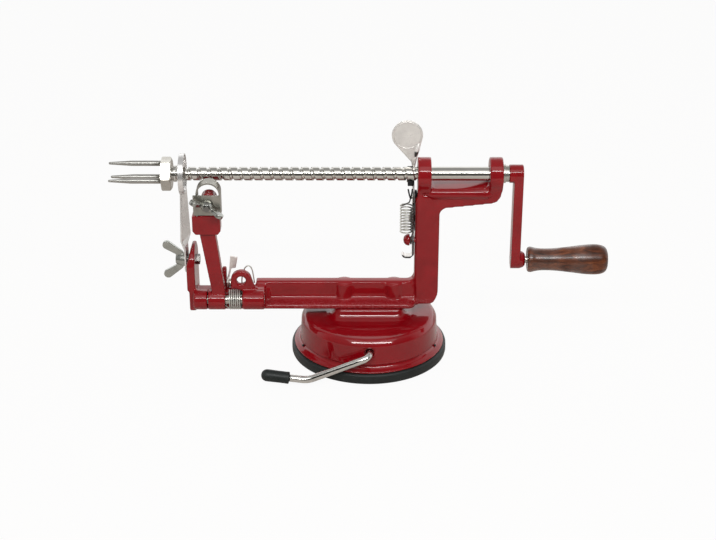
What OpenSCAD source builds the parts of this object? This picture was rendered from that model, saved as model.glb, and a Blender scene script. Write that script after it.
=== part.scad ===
// Hand cranked apple peeler, corer and slicer on a suction base.
// Millimetres. X runs along the feed screw towards the crank, Y away from the
// user, Z up. The origin is the centre of the base on the table.

/* [Feed screw] */
// Height of the feed screw above the table
shaft_z = 134.6; // [130:0.2:145]
// Diameter of the feed screw
shaft_d = 9.5; // [8.5:0.1:10]
// Advance of the screw for one turn of the crank
thread_lead = 7; // [6:0.5:9]
// Depth of the thread groove
groove_depth = 1; // [0.7:0.05:1.2]
// Axial width of the groove at its mouth
groove_w = 2.45; // [2:0.05:2.8]
// Left end of the thread
thread_x0 = -130.6; // [-132:0.2:-128]
// Right end of the thread
thread_x1 = 33; // [32:0.5:40]
// Running clearance of the screw in its bearings, on the radius
run_gap = 0.08; // [0.03:0.01:0.1]

/* [Fruit fork] */
// Distance across the flats of the fork hub
fork_hub_af = 20.4; // [18:0.1:21]
// Length of the fork hub
fork_hub_l = 7; // [6:0.5:9]
// Diameter of a prong
prong_d = 3.7; // [3:0.1:4]
// Radius of the circle that the prongs stand on
prong_circle_r = 7.3; // [6.8:0.1:7.6]
// Reach of the prongs in front of the hub
prong_reach = 36; // [28:1:44]
// Length of the tapered point of a prong
prong_point_l = 15; // [8:1:20]

/* [Crank] */
// Throw of the crank
crank_r = 64.6; // [55:0.2:70]
// Width of the crank arm
crank_w = 12.6; // [12:0.1:16]
// Thickness of the crank arm
crank_t = 6.4; // [5:0.1:8]
// Length of the crank boss on the screw
crank_boss_l = 9.8; // [9:0.2:12]
// Length of the wooden grip
grip_l = 56; // [48:1:70]
// Largest diameter of the wooden grip
grip_d = 21.2; // [18:0.2:26]

/* [Frame] */
// Underside of the bar above the table
bar_z = 37; // [36:0.5:40]
// Height of the bar
bar_h = 17.5; // [15:0.5:20]
// Thickness of the bar's web
web_t = 8; // [7:0.5:10]
// Width of the bar's foot flange
flange_w = 25; // [22:0.5:28]
// Left face of the post
post_x = 33; // [32.6:0.1:34]
// Thickness of the post along the bar
post_l = 15.5; // [14:0.5:18]
// Thickness of the post and cradle across the bar
post_t = 12; // [10:0.5:14]
// Outer radius of the bearing lugs
lug_r = 11.4; // [10:0.2:13]
// Length of each bearing lug
lug_l = 9.2; // [8:0.2:10]
// Outer face of the rear lug
rear_lug_x = 91.2; // [88:0.2:96]
// Thickness of the blade upright
upright_t = 4.6; // [4:0.2:6]
// Right face of the blade upright
upright_x = -121.2; // [-122:0.1:-121]
// Width of the blade upright
upright_w = 30; // [26:1:34]
// Top of the blade upright
upright_top = 83; // [80:0.5:86]

/* [Peeling arm] */
// Height of the arm's pivot pin
arm_z = 46.5; // [46:0.1:47]
// Distance of the pivot pin in front of the screw
arm_y = 16; // [15.5:0.1:17]
// Diameter of the pivot pin
arm_pin_d = 6; // [5:0.1:6.4]
// Radius of the arm's hub and of the frame's barrels
hub_r = 7; // [6.6:0.1:7.4]
// Width of the arm's strut
strut_w = 10.6; // [9:0.2:12]
// Depth of the arm's strut
strut_t = 8; // [7:0.2:9]
// Height of the arm's tongue top
tongue_top = 128.5; // [126:0.5:129]

/* [Blades] */
// Outer radius of the coring ring
ring_r = 13.9; // [13.4:0.1:15]
// Wall of the coring ring
ring_wall = 1; // [0.8:0.1:1.2]
// Length of the coring ring
ring_l = 3.5; // [3:0.1:4.5]
// Thickness of the coring blade's strip
strip_t = 1.3; // [1:0.1:1.6]
// Height of the coring blade's bolt
core_bolt_z = 70.3; // [68:0.1:72]
// Outer radius of the peeling blade's bow
bow_r = 8.3; // [7.8:0.1:8.8]
// Thickness of the peeling blade
blade_t = 1; // [0.8:0.1:1.2]
// Width of the peeling blade's edge strip
blade_w = 9.4; // [8:0.2:10]

/* [Release latch] */
// Thickness of the latch plate
latch_t = 1.4; // [1:0.1:1.6]
// Height of the latch's pivot screw
latch_pivot_z = 101; // [99:0.5:103]
// Radius of the round thumb tab
thumb_r = 10.7; // [9:0.1:12]

/* [Springs] */
// Wire of the latch spring
latch_wire_d = 1; // [0.8:0.05:1.1]
// Outer diameter of the latch spring
latch_spring_d = 9.8; // [8.8:0.1:10.2]
// Turns of the latch spring
latch_turns = 9.5; // [6:0.5:11]
// Wire of the arm spring
arm_wire_d = 0.9; // [0.7:0.05:0.95]
// Turns of the arm spring
arm_turns = 6.25; // [4.25:1:6.25]

/* [Suction base] */
// Radius of the rubber pad
pad_r = 55; // [50:0.5:60]
// Height of the pad's visible rim
pad_rim_h = 7.4; // [6:0.2:9]
// Radius of the drum's wall at its top
drum_r = 46.6; // [42:0.2:48]
// Height of the drum's shoulder
drum_top = 30; // [28:0.2:30]
// Wall of the shell
shell_wall = 2.8; // [2:0.2:3]
// Height of the lever's axis
lever_z = 21.2; // [20.8:0.1:21.6]
// Diameter of the lever's rod
lever_d = 5; // [4:0.1:5.4]
// Lift of the pad's middle when the lever is turned
cup_lift = 3.2; // [2.4:0.1:3.4]

/* [Hidden] */
$fn = 48;

red_paint = [0.55, 0.06, 0.09];
steel = [0.78, 0.78, 0.76];
dark_steel = [0.2, 0.2, 0.2];
wood_brown = [0.36, 0.14, 0.08];
rubber_black = [0.07, 0.08, 0.08];

// Face gap between parts that move past each other
face_gap = 0.3;
// Gap on the radius of a screw or pin in its own hole
hole_gap = 0.05;
shaft_r = shaft_d / 2;
bore_r = shaft_r + run_gap;
front_lug_x = post_x;
post_x1 = post_x + post_l;
bar_top = bar_z + bar_h;
web_y = web_t / 2;
post_y = post_t / 2;
flange_y = flange_w / 2;
barrel_x0 = -88.4;
barrel_x1 = -73;
hub_x0 = -112;
hub_x1 = -100.3;
low_web_top = 48.4;
boss_x = 17.5;
base_screw_d = 5;
core_bolt_d = 4;
latch_screw_d = 4;
latch_pivot_y = 2.5;
stud_y = -3;
stud_z = 86.5;
stud_neck_r = 2.1;
pawl_z = 52;
pawl_bolt_d = 3;
ear_x0 = -103.4;
ear_x1 = hub_x1;
barrel_z0 = arm_z - hub_r;

// Turns local X, Y, Z into world Y, Z, X, for what is drawn square to the screw
module along_x(x) { translate([x, 0, 0]) rotate([90, 0, 90]) children(); }
// Turns a drawing in X and Z into a slab that starts at y and runs away from the user
module along_y(y, t) { translate([0, y + t, 0]) rotate([90, 0, 0]) linear_extrude(t) children(); }
module rod_x(x0, x1, y, z, r) { translate([x0, y, z]) rotate([0, 90, 0]) cylinder(h = x1 - x0, r = r); }
module rod_y(y0, y1, x, z, r) { translate([x, y1, z]) rotate([90, 0, 0]) cylinder(h = y1 - y0, r = r); }
module box(x0, x1, y0, y1, z0, z1) { translate([x0, y0, z0]) cube([x1 - x0, y1 - y0, z1 - z0]); }

// Ring points of a round wire along a path; each ring stands square to the path
function unit(v) = v / norm(v);
function tangent(p, i) =
    unit(p[min(i + 1, len(p) - 1)] - p[max(i - 1, 0)]);
function first_normal(t) =
    unit(cross(t, abs(t[0]) < 0.8 ? [1, 0, 0] : [0, 1, 0]));
function carry(n, t) = unit(n - t * (n * t));
function normals(p, i = 0, n = undef) =
    i == len(p) ? [] :
    let (t = tangent(p, i), m = n == undef ? first_normal(t) : carry(n, t))
    concat([m], normals(p, i + 1, m));
module wire(p, r, sides = 6) {
    frames = normals(p);
    points = [
        for (i = [0:len(p) - 1], k = [0:sides - 1])
            let (t = tangent(p, i), a = frames[i], b = cross(t, a), u = 360 * k / sides)
            p[i] + r * (cos(u) * a + sin(u) * b)
    ];
    last = (len(p) - 1) * sides;
    faces = concat(
        [for (k = [1:sides - 2]) [0, k + 1, k]],
        [for (i = [0:len(p) - 2], k = [0:sides - 1], half = [0, 1])
            let (a = i * sides + k, b = i * sides + (k + 1) % sides)
            half == 0 ? [a, b, a + sides] : [b, b + sides, a + sides]],
        [for (k = [1:sides - 2]) [last, last + k, last + k + 1]]
    );
    polyhedron(points, faces, convexity = 10);
}

// Frame
module bar_section() {
    tip = bar_z + 2.8;
    polygon([
        [-flange_y, bar_z], [flange_y, bar_z], [flange_y, tip], [flange_y - 1, tip + 0.8],
        [web_y + 2, bar_z + 4.6], [web_y, bar_z + 6.6], [web_y, bar_top - 1], [web_y - 1, bar_top],
        [1 - web_y, bar_top], [-web_y, bar_top - 1], [-web_y, bar_z + 6.6], [-web_y - 2, bar_z + 4.6],
        [1 - flange_y, tip + 0.8], [-flange_y, tip]
    ]);
}
// Outline of post and cradle seen from the user, with its inner and outer corners
module cradle_outline() {
    fillet = 6;
    under0 = shaft_z - 23.2;
    under1 = shaft_z - 20;
    top = shaft_z - 9.4;
    x1 = rear_lug_x;
    difference() {
        polygon([
            [post_x, bar_z + 0.8], [post_x1 - 6, bar_z + 0.8],
            [post_x1 - 4.4, bar_z + 1.2], [post_x1 - 2.8, bar_z + 2.6], [post_x1 - 1.5, bar_z + 4.8],
            [post_x1 - 0.5, bar_z + 7.4], [post_x1, bar_z + 10.4], [post_x1, under0],
            [post_x1 + fillet, under0],
            [x1 - 7, under1], [x1 - 3.2, under1 + 1.6], [x1 - 1.2, under1 + 5],
            [x1, under1 + 11], [x1, shaft_z], [post_x, shaft_z]
        ]);
        polygon([
            [post_x + lug_l, shaft_z + 1], [post_x + lug_l, top + 1.6], [post_x + lug_l + 1.6, top],
            [x1 - lug_l - 8, top], [x1 - lug_l - 2.6, top + 1], [x1 - lug_l, top + 3.4],
            [x1 - lug_l, shaft_z + 1]
        ]);
    }
    translate([post_x1 + fillet - 0.1, under0 - fillet + 0.1]) difference() {
        translate([-fillet - 1, 0.3]) square([fillet + 0.7, fillet + 0.7]);
        circle(r = fillet);
    }
}
// Slanted left flank of the post, with a hollow corner down to the bar's top
flank_w = 1.4;
flank_x = post_x - flank_w;
// The release plate lies just left of the flank
plate_x1 = flank_x - 0.5;
plate_x0 = plate_x1 - latch_t;
module post_flank() {
    corner_r = 5.5;
    translate([0, 0, bar_top - 3]) linear_extrude(shaft_z - 16 - bar_top + 3) polygon([
        [post_x + 1, -post_y], [post_x, -post_y], [flank_x, flank_w - post_y], [flank_x, post_y],
        [post_x + 1, post_y]
    ]);
    along_y(-web_y + 0.4, web_t - 0.8) difference() {
        polygon([
            [flank_x - corner_r, bar_top - 1.5], [post_x + 1, bar_top - 1.5],
            [post_x + 1, bar_top + corner_r], [flank_x - corner_r, bar_top + corner_r]
        ]);
        translate([flank_x - corner_r + 0.1, bar_top + corner_r - 0.1]) circle(r = corner_r);
    }
}
// Foot flange's end in front of the post, seen from above
module flange_end(grow) {
    end_r = 6;
    reach = post_x - 0.4 + grow;
    hull() for (s = [-1, 1])
        translate([reach - end_r - grow, s * (flange_y - end_r)]) circle(r = end_r + grow, $fn = 32);
    translate([post_x - 24, -flange_y - grow])
        square([reach - end_r - grow - post_x + 24, 2 * (flange_y + grow)]);
}
// What the rear lug loses to the cradle's rounded end
module cradle_corner() {
    under1 = shaft_z - 20;
    x1 = rear_lug_x;
    polygon([
        [x1 + 1, under1 + 11], [x1, under1 + 11], [x1 - 1.2, under1 + 5], [x1 - 3.2, under1 + 1.6],
        [x1 - 7, under1], [x1 - 12, under1 - 0.9], [x1 - 12, under1 - 5], [x1 + 1, under1 - 5]
    ]);
}
module lug(x) {
    along_x(x) linear_extrude(lug_l) union() {
        translate([0, shaft_z]) circle(r = lug_r);
        translate([0, shaft_z]) difference() {
            polygon([[0, 0], [-post_y - lug_neck_r, -lug_neck_z], [post_y + lug_neck_r, -lug_neck_z]]);
            for (s = [-1, 1]) translate([s * (post_y + lug_neck_r), -lug_neck_z]) circle(r = lug_neck_r);
        }
    }
}
// Hollow curve from a lug into the post, tangent to both
lug_neck_r = 20;
lug_neck_z = sqrt(pow(lug_r + lug_neck_r, 2) - pow(post_y + lug_neck_r, 2));
module upright() {
    pad_out = 1.2;
    top_r = upright_w / 2;
    difference() {
        union() {
            along_x(upright_x - upright_t) linear_extrude(upright_t) union() {
                translate([-top_r, bar_z]) square([upright_w, upright_top - top_r - bar_z]);
                translate([0, upright_top - top_r]) circle(r = top_r);
            }
            along_x(upright_x - upright_t - pad_out) linear_extrude(pad_out + 1) union() {
                translate([0, upright_top - top_r]) circle(r = top_r);
                translate([-top_r, core_bolt_z - 18])
                    square([upright_w, upright_top - top_r - core_bolt_z + 18]);
            }
        }
        along_y(-top_r - 1, upright_w + 2) polygon([
            [upright_face - 1, core_bolt_z + 0.6], [upright_face, core_bolt_z + 0.6],
            [upright_x - 1.8, upright_top + 1], [upright_face - 1, upright_top + 1]
        ]);
    }
}
upright_face = upright_x - upright_t - 1.2;
// Standing ear that backs the spring's leg; its eye is the round hole in it
ear_y = -13;
ear_t = 5;
ear_x = -89.1;
ear_z = 60.4;
ear_eye_r = 3.2;
module spring_ear() {
    r = 7.3;
    foot_z = arm_z + hub_r + 0.6;
    difference() {
        along_y(ear_y - ear_t / 2, ear_t) union() {
            translate([ear_x, ear_z]) circle(r = r);
            polygon([
                [ear_x - r * cos(12), ear_z + r * sin(-12)], [ear_x - r - 0.1, foot_z],
                [barrel_x0, foot_z], [barrel_x0, arm_z], [-79, arm_z], [-79, foot_z - 2],
                [ear_x + r * cos(25), ear_z + r * sin(25)]
            ]);
        }
        rod_y(ear_y - ear_t, ear_y + ear_t, ear_x, ear_z, ear_eye_r);
    }
}
module frame_casting() {
    color(red_paint) difference() {
        union() {
            along_x(-79) linear_extrude(79 + post_x - 6.4) bar_section();
            along_x(post_x - 7) linear_extrude(8) intersection() {
                bar_section();
                translate([-web_y - 2, bar_z]) square([web_t + 4, bar_h]);
            }
            difference() {
                along_x(upright_x - 1) linear_extrude(-79.5 - upright_x + 2) bar_section();
                box(upright_x - 2, -79.6, -flange_y, flange_y, low_web_top, bar_top + 1);
            }
            translate([0, 0, bar_z]) linear_extrude(2.8) flange_end(0);
            translate([0, 0, bar_z + 2.7]) linear_extrude(0.9) flange_end(-1);
            translate([post_x - 8, 0, bar_z]) cylinder(h = 4.6, r = 7);
            post_flank();
            for (x = [-boss_x, boss_x]) translate([x, 0, bar_z]) cylinder(h = bar_h - 0.9, r = 7);
            along_y(-post_y, post_t) cradle_outline();
            lug(front_lug_x);
            difference() {
                lug(rear_lug_x - lug_l);
                along_y(-lug_r - 1, 2 * lug_r + 2) cradle_corner();
            }
            upright();
            rod_x(upright_x - 1, hub_x0 - face_gap - 0.5, -arm_y, arm_z, hub_r);
            box(upright_x - 1, hub_x0 - face_gap - 0.5, -arm_y, -web_y + 1, barrel_z0, low_web_top);
            rod_x(barrel_x0, barrel_x1, -arm_y, arm_z, hub_r);
            box(barrel_x0, barrel_x1, -arm_y, -web_y + 1, barrel_z0, arm_z + hub_r - 1.4);
            along_x(barrel_x1 - 0.5) linear_extrude(3.4, scale = 1) polygon([
                [-web_y - 3, bar_z + 4], [-web_y + 1, bar_z + 4], [-web_y + 1, bar_top - 1]
            ]);
            spring_ear();
            along_x(ear_x0) linear_extrude(ear_x1 - ear_x0) union() {
                translate([-web_y, bar_z + 8]) square([web_t, 60.4 - bar_z - 8]);
                translate([0, 60.4]) circle(r = web_y);
            }
        }
        rod_x(post_x - 1, rear_lug_x + 1, 0, shaft_z, bore_r);
        rod_x(upright_x - 8, upright_x + 1, 0, core_bolt_z, core_bolt_d / 2 + hole_gap);
        rod_x(upright_x + 0.5, barrel_x1 + 1, -arm_y, arm_z, arm_pin_d / 2 + hole_gap);
        for (s = [-1, 1]) along_x(post_x + 3) linear_extrude(rear_lug_x - lug_l - post_x - 4) polygon([
            [s * (post_y + 1), shaft_z - 11.6], [s * (post_y - 0.7), shaft_z - 12.4],
            [s * (post_y - 0.9), shaft_z - 14.2], [s * (post_y + 1), shaft_z - 15.6]
        ]);
        rod_x(flank_x - 1, post_x + 9, latch_pivot_y, latch_pivot_z, latch_screw_d / 2 + hole_gap);
        rod_x(flank_x - 1, post_x + 8, stud_y, stud_z, stud_neck_r + hole_gap);
        rod_x(ear_x0 - 1, ear_x1 + 1, 0, pawl_z, pawl_bolt_d / 2 + hole_gap);
        for (x = [-boss_x, boss_x])
            translate([x, 0, bar_z - 1]) cylinder(h = 13, r = base_screw_d / 2 + hole_gap);
    }
}

// Suction base
shell_floor = pad_rim_h + 0.2;
ceiling = drum_top - shell_wall;
pedestal_x = 24.5;
pedestal_y = 13.2;
module pedestal(z0, z1) {
    top_r = 6;
    module ring(grow, z, h) {
        for (sx = [-1, 1], sy = [-1, 1])
            translate([sx * (pedestal_x - top_r), sy * (pedestal_y - top_r), z])
                cylinder(h = h, r = top_r + grow, $fn = 32);
    }
    hull() { ring(-1, z1 - 0.3, 0.3); ring(0, z1 - 1.4, 0.3); ring(0.8, z0 + 4, 0.3); }
    hull() { ring(0.8, z0 + 3.9, 0.3); ring(2.3, z0 + 1.8, 0.2); }
    hull() { ring(2.3, z0 + 1.8, 0.2); ring(6.2, z0, 0.4); }
}
module base_shell() {
    w = shell_wall;
    lip_r = pad_r - 1;
    color(red_paint) difference() {
        union() {
            rotate_extrude($fn = 96) polygon([
                [0, drum_top + 0.4], [drum_r - 14, drum_top + 0.4], [drum_r - 5, drum_top],
                [drum_r - 2.4, drum_top - 0.5], [drum_r - 1, drum_top - 1.3],
                [drum_r - 0.3, drum_top - 2.5], [drum_r, drum_top - 4.2],
                [drum_r + 1.8, shell_floor + 4], [drum_r + 3, shell_floor + 2.2],
                [lip_r - 1, shell_floor + 1],
                [lip_r, shell_floor], [lip_r - 3, shell_floor], [lip_r - 4, shell_floor - 1.6],
                [drum_r - w + 3, shell_floor - 1.6], [drum_r - w + 1.6, shell_floor + 3],
                [drum_r - w, drum_top - 5], [drum_r - w - 2, ceiling - 0.4], [drum_r - w - 6, ceiling],
                [0, ceiling]
            ]);
            pedestal(drum_top - 0.2, bar_z);
            for (y = [-18, far_bearing_y]) hanging_bearing(y);
            translate([0, -drum_r + 1, lever_z]) rotate([-90, 0, 0]) cylinder(h = 5, r = 6);
        }
        pedestal_hollow();
        rod_y(-drum_r - 5, far_bearing_y + 6, 0, lever_z, lever_d / 2 + run_gap);
        rod_y(-drum_r - 5, -drum_r + 3, 0, lever_z, lever_d / 2 + 1);
        for (x = [-boss_x, boss_x])
            translate([x, 0, ceiling - 1]) cylinder(h = 20, r = base_screw_d / 2 + hole_gap);
    }
}
far_bearing_y = 13;
// Space under the pedestal for the yoke of the pull stem
module pedestal_hollow() {
    box(-10, 10, -7, 7, ceiling - 1, bar_z - 3);
}
module hanging_bearing(y) {
    box(-6, 6, y, y + 5, lever_z, ceiling + 1);
    rod_y(y, y + 5, 0, lever_z, 6);
}
module suction_pad() {
    stem_gap = 0.35;
    color(rubber_black) rotate_extrude($fn = 96) polygon([
        [pull_neck_r + stem_gap, 4.4], [pull_neck_r + stem_gap, 8.4], [12, 8.4], [15, 5.6],
        [drum_r - shell_wall + 1, 5.2], [pad_r - 4.6, 5.2], [pad_r - 3.6, pad_rim_h],
        [pad_r - 1, pad_rim_h], [pad_r, pad_rim_h - 1.4], [pad_r, 1.8], [pad_r - 1, 0],
        [0, 0], [0, 2.6], [pull_head_r + stem_gap, 2.6], [pull_head_r + stem_gap, 4.4]
    ]);
}
pull_neck_r = 3.5;
pull_head_r = 8;
cam_r = 5.2;
cam_throw = cup_lift / 2;
yoke_gap = 0.5;
module pull_stem() {
    window = cam_r + yoke_gap;
    side = window + cam_throw;
    cam_z = lever_z - cam_throw;
    color(steel) difference() {
        union() {
            translate([0, 0, 2.9]) cylinder(h = 1.2, r = pull_head_r);
            translate([0, 0, 2.9]) cylinder(h = cam_z - window - 3, r = pull_neck_r);
            box(-side - 1.9, side + 1.9, -3, 3, cam_z - window - 1.8, cam_z + window + 1.8);
        }
        box(-side, side, -4, 4, cam_z - window, cam_z + window);
    }
}
module lever_cam() {
    color(steel) difference() {
        rod_y(-2.4, 2.4, 0, lever_z - cam_throw, cam_r);
        rod_y(-3, 3, 0, lever_z, lever_d / 2 + hole_gap);
    }
}
// Bent lever: elbow outside the shell, a long slope to the left and a rise to the grip
lever_y = -55;
lever_bend_x = -42.4;
lever_bend_z = 3.9;
lever_end = [-72, 8];
// Straight stretches run a little way into the bends, and are a hair thinner there
bend_bite = 0.2;
straight_r = lever_d / 2 - 0.01;
module lever_bar(a, b, bite_a, bite_b) {
    d = b - a;
    translate([a[0], lever_y, a[1]]) rotate([0, atan2(d[0], d[1]), 0])
        translate([0, 0, -bite_a]) cylinder(h = norm(d) + bite_a + bite_b, r = straight_r);
}
module lever_arc(centre, r, a0, a1) {
    translate([centre[0], lever_y, centre[1]]) rotate([90, 0, 0]) rotate([0, 0, a0])
        rotate_extrude(angle = a1 - a0) translate([r, 0]) circle(r = lever_d / 2);
}
lever_slope = atan2(lever_z - lever_bend_z, -lever_bend_x);
lever_rise = atan2(lever_end[1] - lever_bend_z, lever_bend_x - lever_end[0]);
bend_r = 16;
bend_len = bend_r * tan((lever_slope + lever_rise) / 2);
bend_in = [lever_bend_x + bend_len * cos(lever_slope), lever_bend_z + bend_len * sin(lever_slope)];
bend_out = [lever_bend_x - bend_len * cos(lever_rise), lever_bend_z + bend_len * sin(lever_rise)];
bend_centre = bend_in + bend_r * [-sin(lever_slope), cos(lever_slope)];
elbow_r = 5;
module suction_lever() {
    color(steel) {
        rod_y(lever_y + elbow_r - bend_bite, 18.6, 0, lever_z, straight_r);
        translate([0, lever_y, lever_z]) rotate([0, 180 - lever_slope, 0]) translate([elbow_r, elbow_r, 0])
            rotate([0, 0, 180]) rotate_extrude(angle = 90) translate([elbow_r, 0]) circle(r = lever_d / 2);
        lever_bar([-elbow_r * cos(lever_slope), lever_z - elbow_r * sin(lever_slope)], bend_in,
            bend_bite, bend_bite);
        lever_arc(bend_centre, bend_r, -90 - lever_rise, -90 + lever_slope);
        lever_bar(bend_out, [-57, lever_bend_z + (lever_bend_x + 57) * tan(lever_rise)], bend_bite, 0);
    }
}
module lever_cap() {
    cap_r = 4.25;
    a = [-55, lever_bend_z + (lever_bend_x + 55) * tan(lever_rise)];
    d = lever_end - a;
    color(rubber_black) translate([a[0], lever_y, a[1]]) rotate([0, atan2(d[0], d[1]), 0])
        rotate_extrude() polygon([
        [lever_d / 2 + hole_gap, 0], [cap_r - 0.2, 0], [cap_r, 0.5], [cap_r, 15.2], [cap_r - 0.9, 17.6],
        [cap_r - 2.4, 19], [0, 19.6], [0, 2.4], [lever_d / 2 + hole_gap, 2.4]
    ]);
}
module base_screws() {
    head_z = ceiling;
    for (x = [-boss_x, boss_x]) color(steel) translate([x, 0, 0]) {
        translate([0, 0, head_z - 3.2]) cylinder(h = 3.2, r = 4.4);
        translate([0, 0, head_z - 0.5]) cylinder(h = bar_z + 11 - head_z, r = base_screw_d / 2);
    }
}

// Drive
thread_turns = (thread_x1 - thread_x0) / thread_lead;
// X where the half nut's tooth sits, with the groove facing straight back there
tooth_x = plate_x0 - 1.7;
module thread_section() {
    half = 180 * groove_w / thread_lead;
    floor_half = half * 0.58;
    floor_r = shaft_r - groove_depth;
    land = [for (i = [0:9]) half + i * (360 - 2 * half) / 9];
    polygon(concat(
        [for (a = land) shaft_r * [cos(a), sin(a)]],
        [for (a = [-floor_half, 0, floor_half]) floor_r * [cos(a), sin(a)]]
    ));
}
module feed_screw() {
    slices_per_turn = 10;
    start_turn = 360 * (thread_x0 - tooth_x) / thread_lead;
    color(steel) along_x(thread_x0) translate([0, shaft_z, 0]) rotate([0, 0, start_turn])
        linear_extrude(thread_x1 - thread_x0, twist = -360 * thread_turns, $fn = 12,
            slices = round(thread_turns * slices_per_turn)) thread_section();
}
// Plain shaft that runs in the two lugs and carries the crank
module drive_shaft() {
    color(steel) rod_x(thread_x1, crank_x0 + crank_boss_l - 1, 0, shaft_z, shaft_r);
}
// Stepped neck between thread and fork, with its stub in the hub
module fork_neck() {
    collar_r = shaft_r + 0.9;
    color(steel) along_x(0) translate([0, shaft_z, 0]) rotate_extrude() polygon([
        [0, fork_x1 - fork_seat], [fork_stub_r, fork_x1 - fork_seat], [fork_stub_r, fork_x1],
        [shaft_r, fork_x1], [shaft_r, fork_x1 + 1], [collar_r, fork_x1 + 1.4], [collar_r, fork_x1 + 3],
        [shaft_r, fork_x1 + 3.4], [shaft_r, thread_x0], [0, thread_x0]
    ]);
}
fork_x1 = thread_x0 - 4.4;
fork_x0 = fork_x1 - fork_hub_l;
fork_seat = 5;
fork_stub_r = 4;
prong_angles = [81, 201, 321];
module fork_hub() {
    r = fork_hub_af / 2 / cos(30);
    color(steel) difference() {
        intersection() {
            along_x(fork_x0) translate([0, shaft_z, 0]) cylinder(h = fork_hub_l, r = r, $fn = 6);
            along_x(fork_x0) translate([0, shaft_z, 0]) rotate_extrude() polygon([
                [0, 0], [r - 0.6, 0], [r, 0.5], [r, fork_hub_l - 1], [r - 1.8, fork_hub_l], [0, fork_hub_l]
            ]);
        }
        rod_x(fork_x1 - fork_seat - 0.4, fork_x1 + 1, 0, shaft_z, fork_stub_r + hole_gap);
        for (a = prong_angles) rod_x(fork_x0 - 1, fork_x1 - 2, prong_circle_r * cos(a),
            shaft_z + prong_circle_r * sin(a), prong_d / 2 + hole_gap);
    }
}
module fork_prongs() {
    for (a = prong_angles) color(steel)
        translate([fork_x0 - prong_reach, prong_circle_r * cos(a), shaft_z + prong_circle_r * sin(a)])
            rotate([90, 0, 90]) rotate_extrude($fn = 32) polygon([
                [0, 0], [0.6, 0.1], [0.85, 0.5], [1.25, prong_point_l * 0.45], [prong_d / 2, prong_point_l],
                [prong_d / 2, prong_reach + fork_hub_l - 2.4], [0, prong_reach + fork_hub_l - 2.4]
            ]);
}
washer_t = 1.6;
crank_x0 = rear_lug_x + 4.4;
crank_x1 = crank_x0 + crank_boss_l;
crank_z = shaft_z - crank_r;
spindle_d = 5;
grip_x = crank_x1 + 5.4;
module thrust_washer() {
    x0 = rear_lug_x + face_gap;
    color(steel) along_x(x0) translate([0, shaft_z, 0]) rotate_extrude() polygon([
        [bore_r, 0], [6.4, 0], [6.4, washer_t], [5.7, washer_t], [5.7, crank_x0 - x0 - face_gap],
        [bore_r, crank_x0 - x0 - face_gap]
    ]);
}
module crank_arm() {
    r = crank_w / 2;
    arm_x = crank_x1 - crank_t;
    color(red_paint) difference() {
        union() {
            rod_x(crank_x0, crank_x1, 0, shaft_z, r);
            box(crank_x0, crank_x1, -r, r, shaft_z - 3.6, shaft_z);
            rod_x(arm_x, crank_x1, 0, crank_z, r);
            box(arm_x, crank_x1, -r, r, crank_z, shaft_z);
            along_x(crank_x1 - 0.5) translate([0, crank_z, 0]) rotate_extrude() polygon([
                [0, 0], [r - 0.3, 0], [r - 0.4, 1.7], [r - 0.9, 2.9], [r - 1.9, 3.9], [r - 2.8, 4.3], [0, 4.3]
            ]);
        }
        rod_x(crank_x0 - 1, crank_x1 - 0.9, 0, shaft_z, shaft_r + hole_gap);
        rod_x(arm_x - 1, crank_x1 + 6, 0, crank_z, spindle_d / 2 + hole_gap);
        rod_y(0, r + 1, crank_pin_x, shaft_z, crank_pin_r + hole_gap);
    }
}
crank_pin_x = crank_x0 + 4;
crank_pin_r = 1.5;
module crank_pin() {
    color(steel) rod_y(shaft_r + 0.1, crank_w / 2 - 0.1, crank_pin_x, shaft_z, crank_pin_r);
}
module grip_spindle() {
    x0 = crank_x1 - crank_t;
    head_x = grip_x + grip_l - 3.6;
    color(steel) {
        rod_x(x0, head_x + 0.5, 0, crank_z, spindle_d / 2);
        along_x(head_x) translate([0, crank_z, 0]) rotate_extrude() polygon([
            [0, 0], [4.4, 0], [4.4, 1.2], [2.8, 2.6], [0, 3]
        ]);
    }
}
// Profile of the grip: share of its length, share of its largest radius
grip_shape = [
    [0, 0.76], [0.012, 0.82], [0.032, 0.84], [0.055, 0.83], [0.1, 0.77], [0.16, 0.73], [0.24, 0.724],
    [0.34, 0.745], [0.45, 0.8], [0.56, 0.87], [0.66, 0.94], [0.75, 0.985], [0.82, 1], [0.88, 0.99],
    [0.93, 0.94], [0.965, 0.85], [0.987, 0.72], [1, 0.5]
];
module wooden_grip() {
    head_r = 4.4;
    color(wood_brown) along_x(grip_x) translate([0, crank_z, 0]) rotate_extrude($fn = 64) polygon(concat(
        [[spindle_d / 2 + run_gap, 0]],
        [for (p = grip_shape) [p[1] * grip_d / 2, p[0] * grip_l]],
        [[head_r + face_gap, grip_l], [head_r + face_gap, grip_l - 4],
            [spindle_d / 2 + run_gap, grip_l - 4]]
    ));
}

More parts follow.
